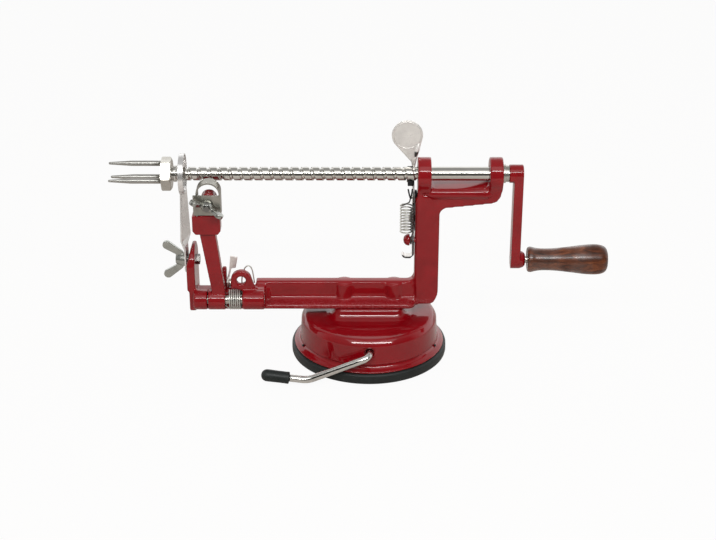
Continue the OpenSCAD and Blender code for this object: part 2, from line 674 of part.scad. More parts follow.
// Release latch
plate_back_y = shaft_r + 1.8;
function turned(v, a) = [v[0] * cos(a) - v[1] * sin(a), v[0] * sin(a) + v[1] * cos(a)];
module latch_outline() {
    s = shaft_z;
    difference() {
        polygon([
            [-8.4, foot_z + foot_r], [-2.4, foot_z + foot_r], [5, 84], [8.6, 94], [8.8, 106],
            [12.4, s - 14], [12.6, s - 6],
            [12.2, s + 0.6], [plate_back_y + 1, s + 0.6], [plate_back_y, s - 1], [plate_back_y, s - 5],
            [3, s - 10.4], [-6.5, s - 10.4], [-8.4, s - 13], [-8.4, s - 17.5], [-1.2, s - 21],
            [-1.2, 93], [-5, 90.2], [-7, 88], [-8.4, 84]
        ]);
        for (a = [0:2:latch_turn + 1]) let (v = [stud_y - latch_pivot_y, stud_z - latch_pivot_z])
            translate([latch_pivot_y, latch_pivot_z] + turned(v, a)) circle(r = stud_neck_r + 0.45);
        translate([latch_pivot_y, latch_pivot_z]) circle(r = latch_screw_d / 2 + run_gap);
        translate([hook_y, hook_z]) circle(r = 1.1);
    }
}
// Angle that the latch turns through
latch_turn = 7;
// Bent foot of the plate
foot_z = 74.7;
foot_r = 2.6;
hook_y = -5.9;
hook_z = 119.4;
thumb_x = 26;
thumb_y = 9.4;
thumb_z = shaft_z + 24.4;
module release_plate() {
    neck_z = shaft_z + 5;
    color(steel) {
        along_x(plate_x0) linear_extrude(latch_t) latch_outline();
        along_y(-8.4, 6) difference() {
            union() {
                polygon([
                    [plate_x1, foot_z + foot_r + 0.2], [plate_x0 - 6.6, foot_z + foot_r + 0.2],
                    [plate_x0 - 7.8, foot_z + 3.2], [plate_x0 - 6.2, foot_z + 0.5],
                    [plate_x0 - 4.6, foot_z], [plate_x1 - foot_r, foot_z], [plate_x1, foot_z + foot_r]
                ]);
            }
            translate([plate_x0 - 9, foot_z + foot_r]) square([9 , 4]);
            polygon([
                [plate_x0, foot_z + foot_r + 1], [plate_x0, foot_z + foot_r],
                [plate_x0 - foot_r + latch_t, foot_z + latch_t], [plate_x0 - 4.4, foot_z + latch_t],
                [plate_x0 - 5.6, foot_z + latch_t + 0.4], [plate_x0 - 6.6, foot_z + 3.6],
                [plate_x0 - 9, foot_z + 4.6], [plate_x0 - 9, foot_z + foot_r + 1]
            ]);
        }
        hull() {
            box(plate_x0, plate_x1, nut_r1 + face_gap, 12.2, shaft_z - 0.4, shaft_z + 0.2);
            translate([plate_x0 - 0.9, thumb_y, neck_z]) cube([3.5, latch_t, 0.6]);
        }
        hull() {
            translate([plate_x0 - 0.9, thumb_y, neck_z]) cube([3.5, latch_t, 0.6]);
            rod_y(thumb_y, thumb_y + latch_t, thumb_x, thumb_z, thumb_r);
        }
    }
}
// Dark steel nut segment behind and below the screw, with one tooth in the groove
nut_x0 = plate_x0 - 3.4;
nut_r1 = shaft_r + 3.8;
module half_nut() {
    color(dark_steel) difference() {
        union() {
            along_x(nut_x0) translate([0, shaft_z]) linear_extrude(plate_x0 - nut_x0) difference() {
                circle(r = nut_r1);
                circle(r = shaft_r + 0.5);
                polygon([
                    [0, 0], 20 * [cos(16), sin(16)], [0, 20], [-20, 20], [-20, -20],
                    20 * [cos(256), sin(256)]
                ]);
            }
            nut_tooth();
        }
        for (p = nut_rivet_spots) rod_x(nut_x0 - 1, plate_x0 + 1, p[0], p[1], nut_rivet_r + hole_gap);
    }
}
module nut_tooth() {
    lean = atan(thread_lead / (PI * shaft_d));
    tip = shaft_r - groove_depth + 0.35;
    translate([tooth_x, 0, shaft_z]) rotate([0, lean, 0]) translate([0, 0, -1.5]) linear_extrude(3)
        polygon([
            [-0.35, tip], [0.35, tip], [0.8, shaft_r + 0.3], [1.1, shaft_r + 1.2], [-1.1, shaft_r + 1.2],
            [-0.8, shaft_r + 0.3]
        ]);
}
nut_rivet_r = 0.9;
nut_rivet_spots = [
    [(shaft_r + 2.2) * cos(-16), shaft_z + (shaft_r + 2.2) * sin(-16)],
    [(shaft_r + 2.2) * cos(-62), shaft_z + (shaft_r + 2.2) * sin(-62)]
];
module half_nut_rivets() {
    for (p = nut_rivet_spots) color(steel) {
        rod_x(nut_x0, plate_x0, p[0], p[1], nut_rivet_r);
        rod_x(nut_x0 - 0.6, nut_x0, p[0], p[1], 1.3);
    }
}
module latch_stud() {
    color(red_paint) along_x(post_x) translate([stud_y, stud_z, 0]) rotate_extrude() polygon([
        [0, 7], [stud_neck_r, 7], [stud_neck_r, -4.9], [4.1, -4.9], [4.1, -6.2], [3.5, -7.7],
        [2.2, -8.9], [0, -9.4]
    ]);
}
module latch_pivot_screw() {
    color(steel) along_x(0) translate([latch_pivot_y, latch_pivot_z, 0]) rotate_extrude() polygon([
        [0, post_x + 8], [latch_screw_d / 2, post_x + 8], [latch_screw_d / 2, plate_x0 - face_gap],
        [3.5, plate_x0 - face_gap], [3.5, plate_x0 - 1.4], [2.6, plate_x0 - 2.2], [0, plate_x0 - 2.4]
    ]);
}
// Close coil with a hook at the plate's hole and a hook round the stud's neck
latch_spring_r = (latch_spring_d - latch_wire_d) / 2;
latch_spring_x = plate_x0 - 3.9;
latch_spring_y = -6.6;
coil_z0 = 93.6;
coil_z1 = 113.6;
function latch_coil() = [
    for (i = [0:latch_turns * 8])
        let (a = 360 * i / 8, f = i / (latch_turns * 8))
        [latch_spring_x + latch_spring_r * cos(a), latch_spring_y + latch_spring_r * sin(a),
            coil_z0 + f * (coil_z1 - coil_z0)]
];
loop_x = plate_x0 - face_gap - latch_wire_d / 2;
loop_r = stud_neck_r + latch_wire_d / 2 + face_gap;
latch_path = concat(
    [for (a = [20:-33:-178]) [loop_x, stud_y + loop_r * cos(a), stud_z + loop_r * sin(a)]],
    [[loop_x, stud_y - loop_r - 0.1, stud_z + 2.2], [loop_x + 0.6, stud_y - loop_r - 0.3, stud_z + 4.6]],
    latch_coil(),
    [[latch_spring_x - 3.5, latch_spring_y - 2.6, coil_z1 + 1.2],
        [latch_spring_x - 1.4, latch_spring_y - 3.6, coil_z1 + 2.6],
        [latch_spring_x + 1.4, latch_spring_y - 3.2, coil_z1 + 4],
        [plate_x0 - 1.4, hook_y + 0.1, hook_z - 0.7],
        [plate_x0 + latch_t * 0.8, hook_y, hook_z - 0.3]]
);
module latch_spring() { color(steel) wire(latch_path, latch_wire_d / 2); }

// Peeling arm
arm_face_y = -arm_y - 4;
head_x0 = -120.6;
head_x1 = -101.4;
head_z0 = 98.4;
head_z1 = 112.4;
head_y0 = -22;
head_y1 = -12.4;
tongue_x = -108.9;
tongue_r = 5.4;
blade_bolt_x = -109.6;
blade_bolt_z = 120.6;
blade_bolt_d = 4;
module peel_arm() {
    strut_lo = -105.4;
    strut_hi = -110.6;
    w = strut_w / 2;
    color(red_paint) difference() {
        union() {
            rod_x(hub_x0, hub_x1, -arm_y, arm_z, hub_r);
            along_y(arm_face_y, strut_t) polygon([
                [strut_lo - w + 0.6, arm_z], [strut_lo + w - 0.4, arm_z], [strut_lo + w, arm_z + 6],
                [strut_hi + w, head_z0 - 1], [strut_hi + w + 1.2, head_z0 + 1.2],
                [strut_hi - w - 1.2, head_z0 + 1.2],
                [strut_hi - w, head_z0 - 1], [strut_lo - w + 1.4, arm_z + 8]
            ]);
            along_y(head_y0, head_y1 - head_y0) polygon([
                [head_x0 + 2, head_z0], [head_x1 - 2, head_z0], [head_x1, head_z0 + 2.4],
                [head_x1, head_z1 - 0.6], [head_x1 - 0.6, head_z1], [head_x0 + 0.6, head_z1],
                [head_x0, head_z1 - 0.6], [head_x0, head_z0 + 2.4]
            ]);
            along_y(head_y0 + 0.6, head_y1 - head_y0 - 0.6) union() {
                translate([tongue_x - tongue_r, head_z1 - 1])
                    square([2 * tongue_r, tongue_top - tongue_r - head_z1 + 1]);
                translate([tongue_x, tongue_top - tongue_r]) circle(r = tongue_r);
            }
            heel();
        }
        rod_x(hub_x0 - 1, hub_x1 + 1, -arm_y, arm_z, arm_pin_d / 2 + run_gap);
        tang_slot();
        rod_y(head_y0 - 1, head_y1 + 1, blade_bolt_x, blade_bolt_z, blade_bolt_d / 2 + hole_gap);
    }
}
// Heel behind the hub: the stop against the bar's web and the step that the latch holds
heel_r = arm_y - web_y - face_gap - 0.2;
module heel() {
    along_x(ear_x0) translate([-arm_y, arm_z, 0]) linear_extrude(pawl_x0 + pawl_t - ear_x0) difference() {
        intersection() {
            circle(r = heel_r);
            polygon([[0, 0], [20, 0], 20 * [cos(14), sin(14)]]);
        }
        circle(r = hub_r - 1);
    }
}
// Slot in the hub's face that the spring's end sits in, long enough for the arm's whole swing
tang_r = 5.1;
arm_turn = 45;
module tang_slot() {
    half = 0.75;
    along_x(hub_x1 - 3.4) translate([-arm_y, arm_z, 0]) linear_extrude(5) difference() {
        intersection() {
            circle(r = tang_r + half);
            rotate([0, 0, -90]) polygon([
                [0, 0], 20 * [cos(10), sin(10)], 20 * [1, 0], 20 * [cos(-30), sin(-30)],
                20 * [cos(-arm_turn - 10), sin(-arm_turn - 10)]
            ]);
        }
        circle(r = tang_r - half);
    }
}
module peel_blade() {
    bow_z = tongue_top;
    front = head_y0 - blade_t;
    back = front + blade_w;
    color(steel) {
        difference() {
            along_y(front, back - front) difference() {
                union() {
                    translate([tongue_x, bow_z]) circle(r = bow_r);
                    translate([tongue_x - bow_r, head_z1 + 0.4]) square([2 * bow_r, bow_z - head_z1 - 0.4]);
                }
                translate([tongue_x, bow_z]) circle(r = bow_r - blade_t);
                translate([tongue_x - bow_r + blade_t, head_z1])
                    square([2 * (bow_r - blade_t), bow_z - head_z1]);
            }
        }
        difference() {
            box(-119.2, tongue_x + bow_r - 0.1, front, head_y0 + 0.3, 113.4, 127.6);
            rod_y(front - 1, head_y0 + 1, blade_bolt_x, blade_bolt_z, blade_bolt_d / 2 + hole_gap);
        }
    }
}
nut_y = head_y0 - blade_t - 0.3;
module peel_blade_bolt() {
    color(steel) translate([blade_bolt_x, 0, blade_bolt_z]) rotate([90, 0, 0]) {
        cylinder(h = -nut_y + 6.4, r = blade_bolt_d / 2 - 0.02);
    }
}
module wing_nut(bolt_r, hub_r0, hub_l, span, rise) {
    wing_t = 2.6;
    tip_r = 3;
    difference() {
        union() {
            rotate_extrude() polygon([
                [0, 0], [hub_r0, 0], [hub_r0 - 0.6, hub_l * 0.5], [hub_r0 - 1.8, hub_l], [0, hub_l]
            ]);
            for (s = [0, 180]) rotate([0, 0, s]) translate([0, wing_t / 2, 0]) rotate([90, 0, 0])
                linear_extrude(wing_t) union() {
                    translate([span - tip_r, rise - tip_r]) circle(r = tip_r);
                    polygon([
                        [hub_r0 - 2, 0.8], [hub_r0 - 0.4, 0.8], [hub_r0 + 1.6, 2],
                        [span - tip_r, rise - tip_r] + tip_r * [cos(-38), sin(-38)],
                        [span - tip_r, rise - tip_r] + tip_r * [cos(142), sin(142)],
                        [hub_r0 - 0.6, hub_l - 0.2], [hub_r0 - 2, hub_l - 0.6]
                    ]);
                }
        }
        translate([0, 0, -1]) cylinder(h = rise + hub_l, r = bolt_r + run_gap);
    }
}
module peel_wing_nut() {
    color(steel) translate([blade_bolt_x, nut_y, blade_bolt_z]) rotate([90, 28, 0])
        wing_nut(blade_bolt_d / 2, 4.4, 5, 12.4, 9.4);
}
module arm_pivot_pin() {
    color(steel) rod_x(upright_x + 0.8, barrel_x1, -arm_y, arm_z, arm_pin_d / 2);
}
// Coil round the pivot pin, one leg in the arm's hub, one up behind the ear
arm_coil_r = hub_r - arm_wire_d / 2;
arm_coil_x0 = hub_x1 + 2.3;
arm_coil_x1 = barrel_x0 - 1;
leg_y = -arm_y + arm_coil_r;
function arm_coil() = [
    for (i = [0:arm_turns * 8])
        let (a = 360 * (i / 8 - arm_turns), f = i / (arm_turns * 8))
        [arm_coil_x0 + f * (arm_coil_x1 - arm_coil_x0),
            -arm_y + arm_coil_r * cos(a), arm_z + arm_coil_r * sin(a)]
];
arm_path = concat(
    [[hub_x1 - 2.6, -arm_y, arm_z - tang_r], [hub_x1 + 0.3, -arm_y, arm_z - tang_r],
        [hub_x1 + 1.5, -arm_y - 0.5, arm_z - tang_r - 0.8]],
    arm_coil(),
    [for (p = [[0.1, -8.4], [0.1, -2.4], [0.7, 2.6], [2.3, 7], [3.9, 8.8], [5.7, 8.9], [7.1, 7.2], [7.9, 4],
        [8.9, -4]]) [ear_x + p[0], leg_y, ear_z + p[1]]]
);
module arm_spring() { color(steel) wire(arm_path, arm_wire_d / 2); }

// Latch that holds the arm open
pawl_x0 = ear_x1 + face_gap;
pawl_t = 1.3;
module arm_latch() {
    color(steel) difference() {
        union() {
            along_x(pawl_x0) linear_extrude(pawl_t) union() {
                translate([0, pawl_z]) circle(r = 3.2);
                polygon([[0.6, pawl_z + 3], [-0.4, pawl_z - 0.4], [-6.2, pawl_z + 1.6], [-7, pawl_z + 3.6]]);
                translate([-2.2, pawl_z]) square([4.4, 4]);
            }
            along_y(-2.2, 4.4) polygon([
                [pawl_x0, pawl_z + 3], [pawl_x0 + pawl_t, pawl_z + 3],
                [pawl_x0 + pawl_t + 2.2, pawl_z + 13], [pawl_x0 + 2.2, pawl_z + 13]
            ]);
            along_y(-2.2, pawl_t) polygon([
                [pawl_x0 + 1.8, pawl_z + 11.6], [pawl_x0 + 6.4, pawl_z + 12.6],
                [pawl_x0 + 8, pawl_z + 20.6], [pawl_x0 + 2.8, pawl_z + 21.4]
            ]);
        }
        rod_x(pawl_x0 - 1, pawl_x0 + 4, 0, pawl_z, pawl_bolt_d / 2 + run_gap);
    }
}
module arm_latch_bolt() {
    x1 = pawl_x0 + pawl_t + face_gap;
    color(steel) {
        rod_x(ear_x0 - 0.2, x1 + 0.3, 0, pawl_z, pawl_bolt_d / 2);
        rod_x(x1, x1 + 1.8, 0, pawl_z, 2.9);
        along_x(ear_x0 - 2.2) translate([0, pawl_z, 0]) cylinder(h = 2.1, r = 3, $fn = 6);
    }
}

// Coring blade
core_x0 = upright_face - face_gap - strip_t;
ring_x = -129.8;
// Above its foot the strip is twisted, so that its edge meets the fruit
twist_z0 = 81;
twist_z1 = 87;
blade_lean = 16;
module coring_blade() {
    foot_r = 9;
    color(steel) difference() {
        union() {
            along_x(ring_x) translate([0, shaft_z, 0]) difference() {
                cylinder(h = ring_l, r = ring_r, $fn = 96);
                translate([0, 0, -1]) cylinder(h = ring_l + 2, r = ring_r - ring_wall, $fn = 96);
            }
            along_x(core_x0) linear_extrude(strip_t) union() {
                translate([0, core_bolt_z]) circle(r = foot_r);
                polygon([
                    [-foot_r, core_bolt_z], [foot_r, core_bolt_z], [foot_r - 0.8, twist_z0],
                    [-foot_r + 0.8, twist_z0]
                ]);
            }
            hull() {
                box(core_x0, core_x0 + strip_t, -foot_r + 0.8, foot_r - 0.8, twist_z0 - 0.3, twist_z0);
                translate([core_x0 + strip_t / 2, 0, 0]) rotate([0, 0, -blade_lean])
                    box(-strip_t / 2, strip_t / 2, -foot_r + 1, foot_r - 1, twist_z1 - 0.3, twist_z1);
            }
            intersection() {
                translate([core_x0 + strip_t / 2, 0, 0]) rotate([0, 0, -blade_lean]) along_x(-strip_t / 2)
                    linear_extrude(strip_t) polygon([
                        [-foot_r + 1, twist_z1 - 0.2], [foot_r - 1, twist_z1 - 0.2],
                        [4.6, shaft_z - ring_r + 3], [-4.6, shaft_z - ring_r + 3]
                    ]);
                along_x(core_x0 - 9) translate([0, shaft_z, 0]) difference() {
                    translate([-20, -70, 0]) cube([40, 70, 20]);
                    translate([0, 0, -1]) cylinder(h = 30, r = ring_r - ring_wall / 2, $fn = 96);
                }
            }
        }
        rod_x(core_x0 - 4, core_x0 + 4, 0, core_bolt_z, core_bolt_d / 2 + run_gap);
    }
}
module coring_bolt() {
    color(steel) {
        along_x(upright_x) translate([0, core_bolt_z, 0]) cylinder(h = 2.6, r = 3.7, $fn = 6);
        rod_x(core_x0 - 6.8, upright_x + 0.5, 0, core_bolt_z, core_bolt_d / 2);
    }
}
module coring_wing_nut() {
    color(steel) translate([core_x0 - face_gap, 0, core_bolt_z]) rotate([0, -90, 0])
        wing_nut(core_bolt_d / 2, 4.8, 6.6, 14, 15.4);
}

// Least gap of each spring's wire to itself, measured on the points of its route
function least_gap(p, d) = min([
    for (i = [0:len(p) - 1], j = [i + 5:1:len(p) - 1]) norm(p[i] - p[j])
]) - d;
echo(latch_spring_least_gap = least_gap(latch_path, latch_wire_d));
echo(arm_spring_least_gap = least_gap(arm_path, arm_wire_d));

frame_casting();
base_shell();
suction_pad();
base_screws();
arm_pivot_pin();
latch_stud();
latch_pivot_screw();
arm_latch_bolt();
coring_bolt();
latch_spring();
arm_spring();
thrust_washer();
feed_screw();
drive_shaft();
fork_neck();
fork_hub();
fork_prongs();
crank_arm();
crank_pin();
grip_spindle();
wooden_grip();
release_plate();
half_nut();
half_nut_rivets();
peel_arm();
peel_blade();
peel_blade_bolt();
peel_wing_nut();
arm_latch();
coring_blade();
coring_wing_nut();
suction_lever();
lever_cap();
lever_cam();
pull_stem();
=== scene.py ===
# %% [markdown]
# # Dressing an apple peeler
# A hand-cranked apple peeler comes in as a CAD model: plain solids that already have the right sizes
# and joints. In this lesson each solid gets the surface of the real thing. Castings get soft edges and
# enamel, the feed screw gets a cleanly cut thread, the springs are wound from round wire, and the grip
# is turned from dark wood. Most pieces ride on the CAD body they belong to, so the peeler still cranks.

# %% Load the CAD frame
import math

import bmesh
import bpy
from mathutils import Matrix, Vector


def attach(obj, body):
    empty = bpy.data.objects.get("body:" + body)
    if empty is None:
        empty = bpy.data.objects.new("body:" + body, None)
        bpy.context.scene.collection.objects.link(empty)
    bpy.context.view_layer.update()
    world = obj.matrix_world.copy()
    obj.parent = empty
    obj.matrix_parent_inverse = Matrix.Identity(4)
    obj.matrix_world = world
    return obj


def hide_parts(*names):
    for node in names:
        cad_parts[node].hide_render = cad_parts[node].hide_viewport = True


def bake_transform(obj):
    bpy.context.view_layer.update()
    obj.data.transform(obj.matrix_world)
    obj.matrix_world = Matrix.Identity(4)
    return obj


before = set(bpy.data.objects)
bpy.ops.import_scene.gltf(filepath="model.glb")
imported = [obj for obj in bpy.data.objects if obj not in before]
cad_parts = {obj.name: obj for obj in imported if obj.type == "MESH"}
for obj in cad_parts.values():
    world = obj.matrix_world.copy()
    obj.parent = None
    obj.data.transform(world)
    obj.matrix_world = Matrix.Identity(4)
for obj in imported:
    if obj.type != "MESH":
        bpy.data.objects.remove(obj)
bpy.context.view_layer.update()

# %% [markdown]
# ## The camera
# The photograph was taken from about a metre away and a little above, so the camera looks down on the
# bar and the drum. The lens follows from how strongly the base's circle is flattened. A plain
# perspective camera without depth of field shows every piece sharply.

# %% Camera
MM = 0.001
PHOTO_WIDTH = 716
FOCAL_PIXELS = 1571
SENSOR_MM = 36
LOOK_DOWN = 25.28
CAMERA_MM = (-7.8, -1000, 534)

camera_data = bpy.data.cameras.new("photo_camera")
camera_data.sensor_width = SENSOR_MM
camera_data.lens = FOCAL_PIXELS / PHOTO_WIDTH * SENSOR_MM
camera = bpy.data.objects.new("photo_camera", camera_data)
camera.location = [c * MM for c in CAMERA_MM]
camera.rotation_euler = (math.radians(90 - LOOK_DOWN), 0, 0)
bpy.context.scene.collection.objects.link(camera)
bpy.context.scene.camera = camera
bpy.context.scene.view_settings.view_transform = "Standard"
print("lens", round(camera_data.lens, 2), "mm")

# %% [markdown]
# ## A way to write node trees
# Materials in this lesson are small graphs of nodes. Writing each node on one line keeps them readable:
# the kind of node, what goes into its sockets, and its settings. A socket takes a number, a colour, or
# the output of another node.


# %% Node helpers
def fill(tree, node, sockets):
    """Fills a node's sockets with values, or links them to other nodes' outputs."""
    for key, value in sockets.items():
        if isinstance(value, bpy.types.NodeSocket):
            tree.links.new(value, node.inputs[key])
        else:
            node.inputs[key].default_value = value
    return node


def put(tree, kind, sockets=None, **settings):
    """Adds a node with its settings and fills its sockets."""
    node = tree.nodes.new("ShaderNode" + kind)
    for name, value in settings.items():
        setattr(node, name, value)
    return fill(tree, node, sockets or {})


def sums(tree, operation, first, second):
    return put(tree, "Math", {0: first, 1: second}, operation=operation).outputs[0]


def times(tree, first, second):
    return sums(tree, "MULTIPLY", first, second)


def rgba(*colour):
    return (*colour, 1.0)


def mix_colours(tree, share, first, second):
    """The colour that lies share of the way from first to second."""
    return put(tree, "Mix", {0: share, 6: first, 7: second}, data_type="RGBA").outputs[2]


def stretch(tree, value, low, high, to_low=0.0, to_high=1.0):
    """Stretches the part of value between low and high over to_low and to_high."""
    sockets = {0: value, 1: low, 2: high, 3: to_low, 4: to_high}
    return put(tree, "MapRange", sockets).outputs[0]


# %% Pattern helpers
def noise(tree, where, scale, **more):
    return put(tree, "TexNoise", {"Vector": where, "Scale": scale, **more}).outputs[0]


def grain_noise(tree, where, scales, **more):
    """Noise with its own scale along each axis, so that it draws out into lines."""
    space = put(tree, "VectorMath", {0: where, 1: scales}, operation="MULTIPLY")
    return noise(tree, space.outputs[0], 1.0, **more)


def bumped(tree, height, depth, **under):
    """The normal of a relief that is depth metres deep, over the normal under it."""
    sockets = {"Strength": 1.0, "Distance": depth, "Height": height, **under}
    return put(tree, "Bump", sockets).outputs[0]


def part_of(tree, coordinates):
    """The X, Y and Z of a vector, as a node's outputs."""
    return put(tree, "SeparateXYZ", {0: coordinates}).outputs


# %% Group helpers
def new_group(name, inputs, outputs):
    """An empty shader group with its sockets, and the nodes that stand for them inside it."""
    group = bpy.data.node_groups.new(name, "ShaderNodeTree")
    for label, kind, value in inputs:
        socket = group.interface.new_socket(label, in_out="INPUT", socket_type="NodeSocket" + kind)
        if value is not None:
            socket.default_value = value
    for label, kind in outputs:
        group.interface.new_socket(label, in_out="OUTPUT", socket_type="NodeSocket" + kind)
    print("group", name, "gives", ", ".join(label for label, kind in outputs))
    return group, group.nodes.new("NodeGroupInput").outputs, group.nodes.new("NodeGroupOutput")


def place_group(tree, group, **values):
    """Places a group in a material, with that material's own values."""
    node = tree.nodes.new("ShaderNodeGroup")
    node.node_tree = group
    return fill(tree, node, values).outputs


# %% [markdown]
# ## Effects that several finishes share
# Four effects come back in nearly every finish, so each is a node group that is built once.
# `broken_edges` softens the normal at edges and marks them, because no real edge is perfectly sharp and
# plating and paint rub thin there. `cast_skin` is the fine unevenness of a casting under its enamel.
# `handling` is the slow change in gloss that hands and cloths leave. `tool_lines` is the fine parallel
# grain that rolling, drawing and turning leave in steel.

# %% Edge group
EDGE_PATCHES = 260.0
broken_edges, edges_in, edges_out = new_group(
    "broken_edges",
    [("Radius", "Float", 0.0004), ("Vector", "Vector", None)],
    [("Normal", "Vector"), ("Edge", "Float")],
)
soft_normal = put(broken_edges, "Bevel", {"Radius": edges_in["Radius"]}, samples=6).outputs[0]
flat_normal = put(broken_edges, "NewGeometry").outputs["Normal"]
likeness = put(broken_edges, "VectorMath", {0: soft_normal, 1: flat_normal}, operation="DOT_PRODUCT")
edge_share = stretch(broken_edges, likeness.outputs["Value"], 0.995, 0.84)
edge_patches = noise(broken_edges, edges_in["Vector"], EDGE_PATCHES, Detail=3.0)
patchy = stretch(broken_edges, edge_patches, 0.35, 0.62, 0.25, 1.0)
edge_rubbed = times(broken_edges, edge_share, patchy)
fill(broken_edges, edges_out, {"Normal": soft_normal, "Edge": edge_rubbed})

# %% Cast skin group
cast_skin, skin_in, skin_out = new_group(
    "cast_skin",
    [("Vector", "Vector", None), ("Size", "Float", 900.0)],
    [("Height", "Float"), ("Pits", "Float")],
)
skin_at, skin_size = skin_in["Vector"], skin_in["Size"]
wide_skin = noise(cast_skin, skin_at, times(cast_skin, skin_size, 0.22))
fine_skin = noise(cast_skin, skin_at, skin_size, Detail=4.0, Roughness=0.6)
pit_cells = put(cast_skin, "TexVoronoi", {"Vector": skin_at, "Scale": skin_size})
pits = stretch(cast_skin, pit_cells.outputs["Distance"], 0.16, 0.05)
hills = sums(cast_skin, "ADD", times(cast_skin, wide_skin, 1.6), times(cast_skin, fine_skin, 0.45))
skin_height = sums(cast_skin, "SUBTRACT", hills, times(cast_skin, pits, 0.12))
fill(cast_skin, skin_out, {"Height": skin_height, "Pits": pits})

# %% Handling group
DUST_SIZE = 2600.0
handling, hand_in, hand_out = new_group(
    "handling",
    [("Vector", "Vector", None), ("Size", "Float", 60.0)],
    [("Smudge", "Float"), ("Dust", "Float")],
)
smudge_noise = noise(
    handling, hand_in["Vector"], hand_in["Size"], Detail=5.0, Roughness=0.62, Distortion=0.6
)
dust_noise = noise(handling, hand_in["Vector"], DUST_SIZE, Detail=2.0)
smudges = stretch(handling, smudge_noise, 0.32, 0.68)
fill(handling, hand_out, {"Smudge": smudges, "Dust": stretch(handling, dust_noise, 0.66, 0.78)})

# %% Tool line group
tool_lines, line_in, line_out = new_group(
    "tool_lines",
    [("Vector", "Vector", None), ("Grain", "Vector", (1.0, 1.0, 1.0))],
    [("Lines", "Float")],
)
line_noise = grain_noise(tool_lines, line_in["Vector"], line_in["Grain"], Detail=4.0, Roughness=0.7)
fill(tool_lines, line_out, {"Lines": stretch(tool_lines, line_noise, 0.3, 0.7)})


# %% [markdown]
# ## Enamel
# The castings are dipped or sprayed in a deep red enamel that is thick enough to flow. It could be one
# red colour with a shine, but then the castings look like plastic. What makes it enamel is that the
# paint follows the cast skin underneath, thins out over the edges, and is a little duller where it is
# handled. Low down, at the bar's flange, the relief is grainy, and pale specks on that grain are a
# painted sparkle of light. A clear coat adds the wet highlight over the softer sheen of the pigment.


# %% Start a material
def new_material(name):
    material = bpy.data.materials.new(name)
    material.use_nodes = True
    tree = material.node_tree
    where = put(tree, "TexCoord").outputs["Object"]
    print("material:", name)
    return material, tree, tree.nodes["Principled BSDF"], where


def feed(tree, shader, **sockets):
    """Fills the shader's sockets; the names use _ for a space."""
    fill(tree, shader, {name.replace("_", " "): value for name, value in sockets.items()})


# %% Enamel finish
# Scale and fade height of the grainy relief low on the castings, and the pale colour of the painted
# sparkle on it
LOW_GRAIN_SCALE = 1000.0
LOW_GRAIN_FADE = 0.0015
PAINTED_SPARKLE = rgba(0.36, 0.075, 0.085)


def enamel(name, deep, bright, skin_size, skin_depth, gloss, coat, grainy_below=0.0):
    material, tree, shader, where = new_material(name)
    edges = place_group(tree, broken_edges, Radius=0.0007, Vector=where)
    skin = place_group(tree, cast_skin, Vector=where, Size=skin_size)
    smudge = place_group(tree, handling, Vector=where, Size=46.0)["Smudge"]
    in_pits, thinned = [0.6 * c for c in deep], [min(1.0, 1.35 * c + 0.006) for c in bright]
    colour = mix_colours(tree, smudge, rgba(*deep), rgba(*bright))
    colour = mix_colours(tree, times(tree, skin["Pits"], 0.25), colour, rgba(*in_pits))
    colour = mix_colours(tree, times(tree, edges["Edge"], 0.45), colour, rgba(*thinned))
    dull = stretch(tree, smudge, 0.0, 1.0, gloss, gloss + 0.1)
    roughness = sums(tree, "ADD", dull, times(tree, edges["Edge"], 0.08))
    grain = noise(tree, where, LOW_GRAIN_SCALE, Detail=2.0)
    low_down = stretch(tree, part_of(tree, where)["Z"], grainy_below, grainy_below - LOW_GRAIN_FADE)
    # Pale specks on the low grain are a painted sparkle of light
    painted_sparkle = times(tree, stretch(tree, grain, 0.48, 0.66, 0.0, 0.55), low_down)
    colour = mix_colours(tree, painted_sparkle, colour, PAINTED_SPARKLE)
    height = sums(tree, "ADD", skin["Height"], times(tree, times(tree, grain, low_down), 2.2))
    normal = bumped(tree, height, skin_depth, Normal=edges["Normal"])
    feed(tree, shader, Base_Color=colour, Roughness=roughness, Normal=normal)
    feed(tree, shader, Specular_IOR_Level=0.03, Coat_Weight=coat, Coat_Roughness=0.04, Coat_IOR=1.48)
    return material


frame_red = enamel(
    "frame_red_enamel", deep=(0.202, 0.0028, 0.0052), bright=(0.268, 0.0046, 0.0082),
    skin_size=700.0, skin_depth=0.00010, gloss=0.4, coat=0.8, grainy_below=0.0425,
)
base_red = enamel(
    "base_red_enamel", deep=(0.19, 0.0008, 0.0036), bright=(0.24, 0.0013, 0.0050),
    skin_size=420.0, skin_depth=0.00002, gloss=0.3, coat=1.0,
)


# %% [markdown]
# ## Bright metals
# Nickel plate, spring wire, rolled sheet and chrome are all one recipe with other numbers: a metallic
# shader whose roughness follows the tool lines, with a few smudges and softened edges. The lines run
# the way the piece was made, so each finish takes its own grain: stretched along the screw for drawn
# bar, and up and down for sheet.


